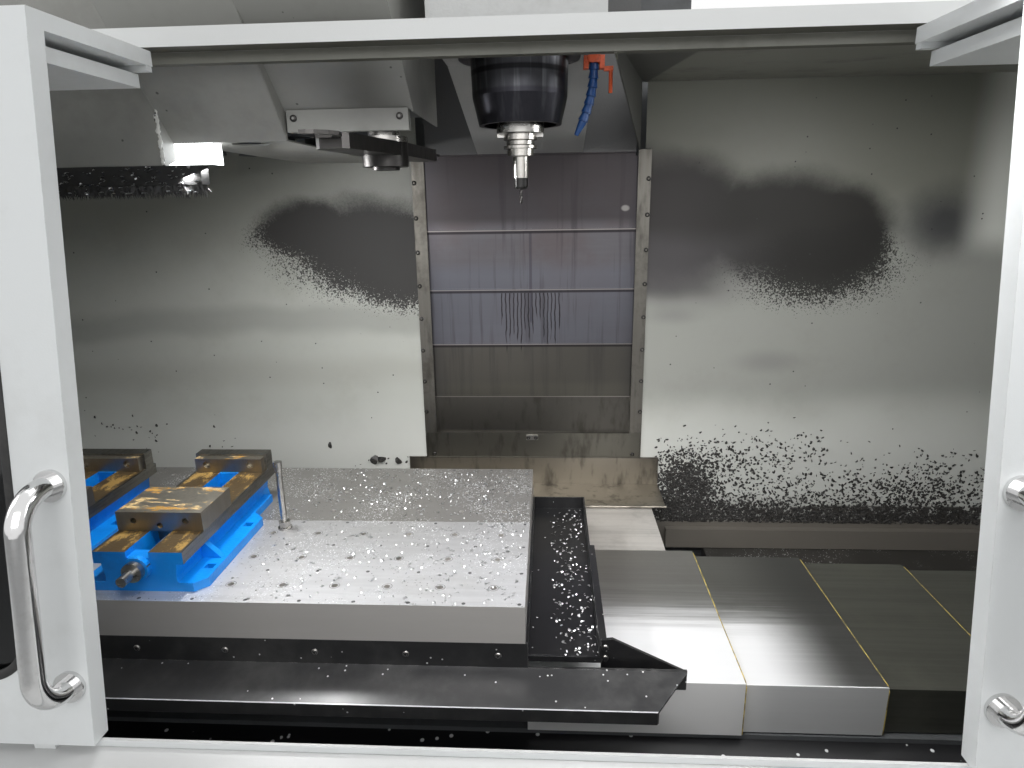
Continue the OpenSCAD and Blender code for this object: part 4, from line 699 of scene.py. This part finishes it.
# A stretch scales X, Y and Z ahead of the noise: the streaks run along the axis with the small one
ALONG_X, ALONG_Z = (0.03, 1.0, 1.0), (1.0, 1.0, 0.2)
dress("saddle_covers",
      steel("stainless sheet", (0.62, 0.59, 0.56), 0.34, ALONG_X, 0.35, share=0.3, extra=skirt_marks,
            scale=22.0, metallic=0.5, depth=0.0002))
# The first two way covers carry painted reflections and highlights
dress("table_covers x_covers_2",
      steel("painted sheen sheet", (0.60, 0.60, 0.60), 0.34, ALONG_X, 0.6, share=0.3, extra=cover_painted_reflections,
            scale=22.0, depth=0.0002))
# Painted shade: the two outer way covers are the same steel as the first two, coloured dark because the
# lamp's reflection doesn't reach them
dress("x_covers_3 x_covers_4",
      steel("shaded cover sheet", (0.085, 0.085, 0.072), 0.3, ALONG_X, 0.4, (0.10, 0.10, 0.08), 0.6,
            scale=22.0, metallic=0.5))
dress("cover_frame",
      steel("frame sheet", (0.20, 0.19, 0.17), 0.4, (1.0, 1.0, 0.05), 0.3, (0.07, 0.063, 0.053), 0.6,
            frame_marks, 12.0))
dress("z_cover_1 z_cover_2 z_cover_3 z_cover_4",
      steel("blued sheet", (0.150, 0.143, 0.155), 0.36, (0.04, 1.0, 1.0), 0.15, (0.12, 0.105, 0.115),
            0.4, cover_drips_and_shading, 14.0))
dress("tooling_plates",
      steel("ground plate", (0.64, 0.64, 0.65), 0.42, (0.08, 1.0, 1.0), 0.3, (0.45, 0.44, 0.42), 0.35,
            plate_marks, 10.0, metallic=0.6))
dress("guide_rails x_screw y_screw z_screw right_vise_screw left_vise_screw arm_shaft spindle_rotor "
      "clamp_stud",
      steel("ground steel", (0.45, 0.44, 0.42), 0.26, (0.2, 1.0, 1.0), 0.35, scale=20.0))
dress("tool_holder",
      steel("holder steel", (0.55, 0.53, 0.50), 0.22, ALONG_Z, 0.3, extra=collet_nut, scale=20.0))
dress("vise_jaw_plates right_vise_jaw left_vise_jaw",
      steel("stained jaw", (0.62, 0.58, 0.50), 0.36, ALONG_Z, 0.35, extra=jaw_stains, scale=20.0))
dress("levelling_feet drill tool_arm",
      steel("dark steel", (0.075, 0.072, 0.070), 0.34, ALONG_Z, 0.4, (0.02, 0.02, 0.02), 0.5,
            scale=20.0))
dress("spindle_cartridge",
      steel("spindle steel", (0.06, 0.061, 0.068), 0.3, (1.0, 1.0, 0.1), 0.3, (0.02, 0.02, 0.02), 0.5,
            spindle_bands, 20.0))

dress("left_handle right_handle",
      finish("chrome", (0.72, 0.72, 0.72), 0.12, 1.0,
             soiled(18.0, 0.45, 0.7, 0.5, (0.45, 0.44, 0.42), 0.28)))
dress("left_window right_window",
      finish("tinted glass", (0.06, 0.065, 0.07), 0.05, Transmission_Weight=1.0, IOR=1.5))
dress("coolant_hose",
      finish("blue plastic", (0.012, 0.065, 0.22), 0.38,
             marks=soiled(30.0, 0.5, 0.7, 1.0, (0.01, 0.04, 0.16), 0.5)))
dress("coolant_valve",
      finish("orange plastic", (0.72, 0.10, 0.02), 0.4,
             marks=soiled(30.0, 0.5, 0.7, 1.0, (0.35, 0.05, 0.01), 0.5)))
dress("emergency_stop",
      finish("red plastic", (0.55, 0.01, 0.01), 0.25,
             marks=soiled(30.0, 0.5, 0.7, 1.0, (0.3, 0.01, 0.01), 0.4)))
dress("jog_wheel",
      finish("black rubber", (0.016, 0.016, 0.016), 0.62,
             marks=soiled(14.0, 0.45, 0.7, 0.6, (0.06, 0.058, 0.055), 0.8),
             bump=lambda point: (noise(point, 500.0, 2.0), 0.0001)))
dress("work_lamp",
      finish("lamp glow", (0.9, 0.92, 0.95), 0.3,
             marks=soiled(20.0, 0.5, 0.7, 0.2, (0.6, 0.6, 0.6), 0.4),
             Emission_Strength=5.0, Emission_Color=(0.95, 0.98, 1.0, 1.0)))

# Finishes that only the small pieces of this script wear
finish("wiper", (0.55, 0.42, 0.10), 0.55, marks=soiled(40.0, 0.42, 0.6, 0.8, (0.10, 0.08, 0.04), 0.6))
finish("caulk", (0.75, 0.75, 0.72), 0.6, marks=lambda point: [
    (use(SPECKLE, point, Scale=120.0, Size=0.4, Share=0.25), (0.05, 0.05, 0.05), 0.6)])
finish("bright chips", (0.72, 0.73, 0.74), 0.3, 0.9, mottled((0.5, 0.5, 0.5), 0.4))
finish("black chips", (0.02, 0.02, 0.02), 0.5, marks=mottled((0.06, 0.055, 0.05), 0.6))
finish("screen glass", (0.012, 0.016, 0.022), 0.12,
       marks=soiled(12.0, 0.4, 0.7, 0.4, (0.05, 0.055, 0.06), 0.3), Coat_Weight=0.6)


# Meshes
def piece(name, points, faces, finish_name, body, slot, smooth=True, stands_for=()):
    """Puts arrays of points and faces into a mesh that rides on a body."""
    mesh = bpy.data.meshes.new(name)
    mesh.from_pydata(np.asarray(points, float).tolist(), [], [list(face) for face in faces])
    mesh.validate()
    if smooth:
        mesh.shade_smooth()
    mesh.materials.append(FINISHES[finish_name])
    made = bpy.data.objects.new(name, mesh)
    bpy.context.scene.collection.objects.link(made)
    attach(made, body)
    if stands_for:
        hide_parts(*stands_for)
    return made


def quads(rows, columns, close_rows=False):
    """Faces of a grid of rows by columns of points, whose columns close round."""
    i, j = np.meshgrid(np.arange(rows - (not close_rows)), np.arange(columns), indexing="ij")
    n, m = (i + 1) % rows, (j + 1) % columns
    return np.stack([i * columns + j, n * columns + j, n * columns + m, i * columns + m], -1).reshape(-1, 4)


def capped(rows, columns):
    """The grid's faces with a cap on its first and last row."""
    last = (rows - 1) * columns
    return [*quads(rows, columns).tolist(), list(range(columns)), list(range(last, last + columns))[::-1]]


def sweep(path, profile, up, close_path=False):
    """A closed profile (a, b) carried along a path: point + a * side + b * lift, where side is the
    tangent crossed with up and lift is side crossed with the tangent."""
    path, profile, up = (np.asarray(v, float) for v in (path, profile, up))
    ahead = np.roll(path, -1, 0) - np.roll(path, 1, 0)
    if not close_path:
        ahead[0], ahead[-1] = path[1] - path[0], path[-1] - path[-2]
    ahead /= np.linalg.norm(ahead, axis=1, keepdims=True)
    side = np.cross(ahead, up)
    side /= np.linalg.norm(side, axis=1, keepdims=True)
    lift = np.cross(side, ahead)
    points = path[:, None] + profile[None, :, :1] * side[:, None] + profile[None, :, 1:] * lift[:, None]
    rows, columns = len(path), len(profile)
    faces = quads(rows, columns, True) if close_path else capped(rows, columns)
    return points.reshape(-1, 3), faces


def around(sides):
    """Angles of a circle's corners."""
    return np.arange(sides) * 2 * np.pi / sides


def turned(radius, height):
    """Rings round Z: radius[row, step] at height[row], with both ends closed."""
    rows, steps = radius.shape
    x, y = radius * np.cos(around(steps)), radius * np.sin(around(steps))
    points = np.stack([x, y, np.repeat(height[:, None], steps, 1)], -1).reshape(-1, 3)
    return points, [face[::-1] for face in capped(rows, steps)]


def repeated(count, size, *faces):
    """The same faces for each of count groups of size points."""
    first = np.arange(count)[:, None] * size
    return np.concatenate([first + np.array([face]) for face in faces])


def shifted(faces, start):
    """The faces of a copy whose points begin at start."""
    return [(np.array(face) + start).tolist() for face in faces]


def cut_rectangle(width, height, cut):
    """A rectangle with its corners cut, round its own middle."""
    w, h = width / 2, height / 2
    return [(-w + cut, -h), (w - cut, -h), (w, -h + cut), (w, h - cut), (w - cut, h), (-w + cut, h),
            (-w, h - cut), (-w, -h + cut)]


# Screws
STRIP_X, STRIP_TOP, STRIP_PITCH = 0.3385, 1.670, 0.1
APRON_Y, APRON_SCREW_Z = -0.9035, 0.820
APRON_SCREWS = (-0.51, -0.34, -0.17, 0, 0.17, 0.34, 0.51)


def button_head(radius, steps=18):
    """A domed head: a profile of radius and height turned about Z. The rings of its socket shrink
    between six corners into hexagons, and the ring at its rim does so by a share of 0.4."""
    profile = radius * np.array([(0.42, 0.12), (0.42, 0.52), (0.5, 0.56), (0.78, 0.46), (0.95, 0.25),
                                 (1, 0.05), (1, 0)])
    share = np.array([1, 1, 0.4, 0, 0, 0, 0])[:, None]
    sixth = np.pi / 6
    hexagon = np.cos(sixth) / np.cos((around(steps) + sixth) % (2 * sixth) - sixth)
    return turned(profile[:, :1] * (1 + share * (hexagon - 1)), profile[:, 1])


def screws(name, radius, places, finish_name, body, slot):
    """Button heads that look to the front: each point's height becomes its way forward."""
    points, faces = button_head(radius)
    front = np.stack([points[:, 0], -points[:, 2], points[:, 1]], -1)
    every = (front[None] + np.array(places, float)[:, None]).reshape(-1, 3)
    copies = [face for n in range(len(places)) for face in shifted(faces, len(points) * n)]
    piece(name, every, copies, finish_name, body, slot)


strip_screws = [(side * STRIP_X, WALL_Y - 0.006, STRIP_TOP - STRIP_PITCH * i)
                for side in (-1, 1) for i in range(8)]
foot_screws = [(side * 0.320, WALL_Y, 0.824) for side in (-1, 1)]
small_plate_screws = [(x, WALL_Y - 0.005, 0.882) for x in (-0.013, 0.011)]
screws("cover_frame_screws", 0.0068, strip_screws + foot_screws + small_plate_screws, "dark steel",
       "machine_frame", "dark_steel")
apron_screws = [(TABLE_X + x, APRON_Y, APRON_SCREW_Z) for x in APRON_SCREWS]
tray_screws = [(0.155, -0.886, z) for z in (0.828, 0.806)]
screws("apron_screws", 0.0065, apron_screws + tray_screws, "ground steel", "table", "ground_steel")
screws("lip_screws", 0.0065, [(x, -0.656, 1.768) for x in (-0.412, -0.216)], "dark steel", "machine_frame",
       "dark_steel")

# Wiper lips on the table's covers
WIPER_WIDTH, WIPER_THICK, WIPER_BEND = 0.0092, 0.0024, 0.004


def cover_wiper(level):
    """A U-shaped lip round the outer end of a cover, and its mirrored twin at the left end."""
    end = COVER_ENDS[level] + WIPER_THICK / 2
    half = COVER_HALF - COVER_STEP * level - WIPER_WIDTH / 2
    top = COVER_TOP - COVER_STEP * level - WIPER_WIDTH / 2
    front, back = SPINDLE_Y - half, SPINDLE_Y + half
    path = [(end, front, COVER_FOOT), (end, front, top - WIPER_BEND), (end, front + WIPER_BEND, top),
            (end, back - WIPER_BEND, top), (end, back, top - WIPER_BEND), (end, back, COVER_FOOT)]
    points, faces = sweep(path, cut_rectangle(WIPER_WIDTH, WIPER_THICK, 0.0005), (1, 0, 0))
    twin = points * (-1, 1, 1) - (COVER_SHIFTS[level], 0, 0)
    mirrored = [face[::-1] for face in shifted(faces, len(points))]
    return np.concatenate([points, twin]), faces + mirrored


for level, body in enumerate(("table", "x_covers_2", "x_covers_3", "x_covers_4")):
    piece("wiper_%d" % (level + 1), *cover_wiper(level), "wiper", body, "stainless", smooth=False)


# Gaskets of the doors' windows
def door_plane(x, z, out=0.0):
    """A point on a door's front, out metres in front of it."""
    lean = math.atan(DOOR_LEAN)
    y = DOOR_Y + DOOR_LEAN * (z - DOOR_Z)
    return np.stack([x, y - out * math.cos(lean), z + out * math.sin(lean)], -1)


def round_cornered(x0, x1, z0, z1, radius, steps=12):
    """A rectangle with round corners, as points in X and Z: a quarter circle round each middle."""
    middles = np.array([(x1 - radius, z1 - radius), (x0 + radius, z1 - radius),
                        (x0 + radius, z0 + radius), (x1 - radius, z0 + radius)])
    angle = np.radians(np.arange(4)[:, None] * 90 + np.linspace(0, 90, steps))
    quarter = radius * np.stack([np.cos(angle), np.sin(angle)], -1)
    return (middles[:, None] + quarter).reshape(-1, 2)


def window_gasket(x0, x1, inset=0.002):
    """A flat rubber strip carried round the window's edge, in the plane of the door."""
    loop = round_cornered(x0 + inset, x1 - inset, *WINDOW_Z, 0.058)
    outwards = (0, -math.cos(math.atan(DOOR_LEAN)), math.sin(math.atan(DOOR_LEAN)))
    path = door_plane(loop[:, 0], loop[:, 1], -inset)
    return sweep(path, cut_rectangle(0.012, 0.009, 0.002), outwards, close_path=True)


for door, ends in WINDOW_X.items():
    piece(door + "_gasket", *window_gasket(*ends), "black rubber", door, "black_plastic")


# Ball screws and drill
def ball_screw(length, radius=0.016, pitch=0.016, journal=0.06):
    """A round rod along Z whose radius dips once per pitch as the angle turns: the groove of a
    ball screw. The journals at both ends keep a constant, smaller radius."""
    steps, rows_per_turn = 20, 6
    height = np.linspace(0, length, int(length / pitch * rows_per_turn))
    phase = (height[:, None] / pitch - around(steps) / (2 * np.pi)) % 1.0
    dip = 0.0022 * np.exp(-((phase - 0.5) / 0.16) ** 2)
    plain = (height < journal) | (height > length - journal)
    return turned(np.where(plain[:, None], radius - 0.002, radius - dip), height)


for index, name in enumerate(("x_screw", "y_screw", "z_screw")):
    low, high = (np.array(corner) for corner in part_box(name))
    start = (low + high) / 2
    start[index] = low[index]
    points, faces = ball_screw(high[index] - low[index])
    laid = np.roll(points, index + 1, 1) + start
    piece(name + "_thread", laid, faces, "ground steel", name, "ground_steel", stands_for=(name,))


def twist_drill(radius=0.003, length=0.066, below_nose=0.128):
    """A round bar with two flutes that wind upwards and a point at the bottom: the radius falls by
    half twice per turn of the angle, and the angle runs on with height."""
    steps, rows, windings = 28, 60, 2.6
    share = np.linspace(0, 1, rows)[:, None]
    wind = around(steps) - share * 2 * np.pi * windings
    flute = 0.0013 * np.exp(-((np.cos(wind) ** 2) / 0.16))
    size = radius - flute * np.clip((0.62 - share) / 0.05, 0, 1)
    tip = np.clip(share / 0.035, 0.05, 1)
    points, faces = turned(size * tip, NOSE_Z - below_nose + share[:, 0] * length)
    return points + (0, SPINDLE_Y, 0), faces


piece("twist_drill", *twist_drill(), "dark steel", "spindle", "dark_steel", stands_for=("drill",))


# Bristles under the guard, and chips that hang in them
BRUSH_LEFT, BRUSH_RIGHT, BRUSH_FRONT = -1.245, -0.584, -0.695
BRUSH_ROOT = 1.656


def bristles(count, seed):
    """Thin tapered tufts that hang scattered under the guard's strip: three points round the root
    and one at the tip, which leans a little."""
    draw = np.random.default_rng(seed)
    column = (count, 1)
    x, y = draw.uniform(BRUSH_LEFT, BRUSH_RIGHT, column), draw.uniform(-0.690, -0.668, column)
    length = draw.uniform(0.010, 0.026, column)
    lean = draw.normal(0, 0.006, (count, 2))
    wide = draw.uniform(0.002, 0.0045, column)
    root_x, root_y = x + wide * np.cos(around(3)), y + wide * np.sin(around(3))
    root = np.stack([root_x, root_y, np.full((count, 3), BRUSH_ROOT)], -1)
    tip = np.stack([x + lean[:, :1], y + lean[:, 1:], BRUSH_ROOT - 0.001 - length], -1)
    points = np.concatenate([root, tip], 1).reshape(-1, 3)
    return points, repeated(count, 4, (0, 1, 3), (1, 2, 3), (2, 0, 3), (0, 2, 1))


piece("guard_bristles", *bristles(1500, 3), "black rubber", "machine_frame", "black_plastic", smooth=False)


# Chips
def flakes(places, seed, low, high, tilt=0.25):
    """Small curled flakes: four points along an arc, each spread to both sides by a share of the
    length, then rolled, turned about Z and set on the lowest point."""
    draw = np.random.default_rng(seed)
    column = (len(places), 1)
    size, bow = draw.uniform(low, high, column), draw.uniform(0.3, 1.6, column)
    t = np.linspace(-0.5, 0.5, 4)
    half = size * draw.uniform(0.15, 0.4, column) * np.array([0.5, 1.0, 1.0, 0.4])
    yaw, roll = draw.uniform(0, 2 * np.pi, column), draw.normal(0, tilt, column)
    along, rise = (np.repeat(part, 2, 1) for part in (size * t, size * bow * (0.25 - t ** 2)))
    across = np.stack([-half, half], -1).reshape(len(places), -1)
    level = across * np.cos(roll) - rise * np.sin(roll)
    z = across * np.sin(roll) + rise * np.cos(roll)
    x, y = along * np.cos(yaw) - level * np.sin(yaw), along * np.sin(yaw) + level * np.cos(yaw)
    points = np.stack([x, y, z - z.min(1, keepdims=True)], -1) + places[:, None]
    return points.reshape(-1, 3), repeated(len(places), 8, (0, 2, 3, 1), (2, 4, 5, 3), (4, 6, 7, 5))


def scatter(count, x, y, z, seed, lean=0.0):
    """Points spread over a rectangle at height z, denser towards high x where lean is above 0."""
    draw = np.random.default_rng(seed)
    u, v = draw.random(count), draw.random(count)
    u = u ** (1 / (1 + lean))
    return np.stack([x[0] + u * (x[1] - x[0]), y[0] + v * (y[1] - y[0]), np.full(count, z)], -1)


def bright_flakes(name, body, places, seed, low, high):
    """Metal flakes that lie loose on a body."""
    piece(name, *flakes(places, seed, low, high), "bright chips", body, "ground_steel", smooth=False)


table_spots = np.concatenate([
    scatter(760, (-0.58, 0.005), (-0.905, -0.295), PLATE_TOP + 0.0002, 11, 0.4),
    scatter(260, (-0.48, -0.05), (-0.50, -0.30), PLATE_TOP + 0.0002, 12),
    scatter(240, (0.060, 0.140), (-0.89, -0.30), TRAY_TOP + 0.0003, 13)])
bright_flakes("table_chips", "table", table_spots, 21, 0.003, 0.0085)
brush_spots = scatter(260, (BRUSH_LEFT, BRUSH_RIGHT - 0.001), (BRUSH_FRONT, BRUSH_FRONT), 1.640, 15)
brush_spots[:, 2] += np.random.default_rng(5).uniform(0, 0.046, len(brush_spots))
bright_flakes("brush_chips", "machine_frame", brush_spots, 22, 0.004, 0.011)

# Chips stuck to the back wall: how many, the heap's middle X and Z, and its spread along each
WALL_HEAPS = ((2100, 0.49, 0.73, 0.060, 0.050), (1200, 0.45, 0.63, 0.06, 0.05),
              (1800, 0.60, 0.62, 0.12, 0.030), (3000, 1.10, 0.602, 0.24, 0.026),
              (1300, 0.85, 0.65, 0.25, 0.05), (1200, 1.25, 0.69, 0.14, 0.06),
              (520, 0.68, 0.80, 0.14, 0.05), (26, -1.32, 0.90, 0.10, 0.035),
              (7, -1.02, 0.87, 0.08, 0.03), (9, -0.50, 0.80, 0.07, 0.012))
# Single large flakes on the wall: X, Z and 0, since they lie flat until they are turned onto it
LARGE_FLAKES = ((-0.664, 0.852, 0), (-0.520, 0.802, 0), (-0.440, 0.800, 0), (-0.497, 0.806, 0))
WALL_FOOT, WALL_LEFT, WALL_RIGHT, COLUMN_COVER_EDGE = 0.590, -1.5, 1.43, 0.385


def wall_heaps(seed):
    """Places of chips on the back wall: round each heap's middle they are spread by a normal draw
    in X and Z. Those beyond the wall's edges and on the column cover are dropped."""
    draw = np.random.default_rng(seed)
    x, z = np.concatenate([np.stack([draw.normal(x, wide, count), draw.normal(z, tall, count)], -1)
                           for count, x, z, wide, tall in WALL_HEAPS]).T
    kept = (z > WALL_FOOT) & (x < WALL_RIGHT) & (abs(x) > COLUMN_COVER_EDGE) & (x > WALL_LEFT)
    return np.stack([x[kept], z[kept], np.zeros(kept.sum())], -1)


def stuck_flakes(name, *chips):
    """Flakes turned from the ground onto the wall, so that their height looks to the front."""
    points, faces = flakes(*chips)
    upright = np.stack([points[:, 0], WALL_Y - 0.0003 - points[:, 2], points[:, 1]], -1)
    piece(name, upright, faces, "black chips", "machine_frame", "black_plastic", smooth=False)


stuck_flakes("wall_chips", wall_heaps(31), 32, 0.004, 0.011, 0.15)
stuck_flakes("wall_flakes", np.array(LARGE_FLAKES), 34, 0.022, 0.034, 0.1)


# Bead of sealant on the guard's edge
def guard_bead(rows=60, sides=8):
    """A round bead up the edge of the guard's upright panel, which sways with a sine of the height;
    its thickness swells and shrinks with two more."""
    height = np.linspace(1.690, 1.844, rows)
    path = np.stack([-0.6475 - 0.001 * np.sin(height * 260), np.full(rows, -0.6935), height], -1)
    circle = np.stack([np.cos(around(sides)), np.sin(around(sides))], -1)
    points, faces = sweep(path, circle, (0, 1, 0))
    thick = 0.0032 + 0.0009 * np.sin(height * 310) + 0.0006 * np.sin(height * 720)
    middle = path.repeat(sides, 0)
    return middle + (points - middle) * thick.repeat(sides)[:, None], faces


piece("guard_bead", *guard_bead(), "caulk", "machine_frame", "white_paint")


# Glass of the console's screen
def screen_glass(x, y, z, bevel):
    """A flat block that faces the front: its outline at the back and just behind the front, then
    the outline drawn in by the bevel."""
    corner = np.array([(0, 0), (1, 0), (1, 1), (0, 1)])
    outline = (x[0], z[0]) + corner * (x[1] - x[0], z[1] - z[0])
    drawn_in = outline + bevel * (1 - 2 * corner)
    rings = ((outline, y[1]), (outline, y[0] + bevel), (drawn_in, y[0]))
    points = [np.insert(ring, 1, depth, 1) for ring, depth in rings]
    return np.concatenate(points), [[3, 2, 1, 0], [8, 9, 10, 11], *quads(3, 4)[:, ::-1].tolist()]


piece("console_screen", *screen_glass((1.207, 1.493), (-1.2665, -1.2622), (1.423, 1.657), 0.0015),
      "screen glass", "pendant", "black_plastic", smooth=False)


# Floor, light and background
def ground():
    """A pale floor just under the feet, for the picture alone."""
    half, depth = 12, -0.001
    mesh = bpy.data.meshes.new("floor")
    corners = [(-half, -half, depth), (half, -half, depth), (half, half, depth), (-half, half, depth)]
    mesh.from_pydata(corners, [], [(0, 1, 2, 3)])
    mesh.materials.append(finish("floor", (0.72, 0.72, 0.71), 0.7, marks=lambda point: [
        (noise(point, 3.0) * 0.15, (0.66, 0.66, 0.65), 0.75)]))
    floor = bpy.data.objects.new("floor", mesh)
    bpy.context.scene.collection.objects.link(floor)
    floor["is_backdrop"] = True


ground()


def area_light(name, place_at, aim, size, power, spread=180):
    """A rectangular light aimed at a point; spread is the angle of its beam in degrees."""
    data = bpy.data.lights.new(name, "AREA")
    data.shape, data.size, data.size_y, data.energy = "RECTANGLE", size[0], size[1], power
    data.spread = math.radians(spread)
    lamp = bpy.data.objects.new(name, data)
    lamp.location = place_at
    lamp.rotation_mode = "QUATERNION"
    lamp.rotation_quaternion = (Vector(aim) - Vector(place_at)).to_track_quat("-Z", "Y")
    bpy.context.scene.collection.objects.link(lamp)


area_light("front_softbox", (0.3, -3.8, 3.0), (0, -0.3, 1.1), (3.4, 1.8), 54)
area_light("top_softbox", (0.0, 0.4, 4.4), (0, -0.2, 1.0), (3.4, 2.4), 40)
area_light("left_softbox", (-4.0, -1.0, 3.0), (0, 0, 1.2), (2.0, 2.0), 38)
area_light("right_softbox", (4.0, -0.5, 3.0), (0, 0, 1.2), (2.0, 2.0), 38)
area_light("back_softbox", (0.5, 4.4, 3.0), (0, 0.4, 1.2), (2.6, 1.8), 70)
area_light("room_light_right", (0.80, -0.66, 1.80), (0.6, -0.4, 0.7), (0.5, 0.12), 5.0)
area_light("room_light_left", (-0.62, -0.63, 1.675), (-0.35, -0.5, 0.9), (0.14, 0.05), 7)
area_light("opening_light", (0.1, -1.08, 1.86), (0.15, -0.62, 0.80), (1.1, 0.10), 5.5, 100)


def studio():
    """A soft grey sky for the light, and plain white where the camera or a mirror sees it."""
    world = bpy.data.worlds.new("studio")
    world.use_nodes = True
    tree = world.node_tree
    put((0.92, 0.94, 0.96, 1), tree.nodes["Background"].inputs["Color"])
    put(0.35, tree.nodes["Background"].inputs["Strength"])
    white = output_of(tree, "ShaderNodeBackground", {"Color": (1, 1, 1, 1), "Strength": 1.0})
    rays = tree.nodes.new("ShaderNodeLightPath").outputs
    straight, through, mirrored = (Value(rays["Is %s Ray" % kind])
                                   for kind in ("Camera", "Transmission", "Glossy"))
    seen = maths("MAXIMUM", maths("MAXIMUM", straight, through), mirrored)
    sky = {0: seen, 1: Value(tree.nodes["Background"].outputs[0]), 2: white}
    put(output_of(tree, "ShaderNodeMixShader", sky), tree.nodes["World Output"].inputs[0])
    bpy.context.scene.world = world


studio()
bpy.context.scene.view_settings.view_transform = "Standard"

low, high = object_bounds()
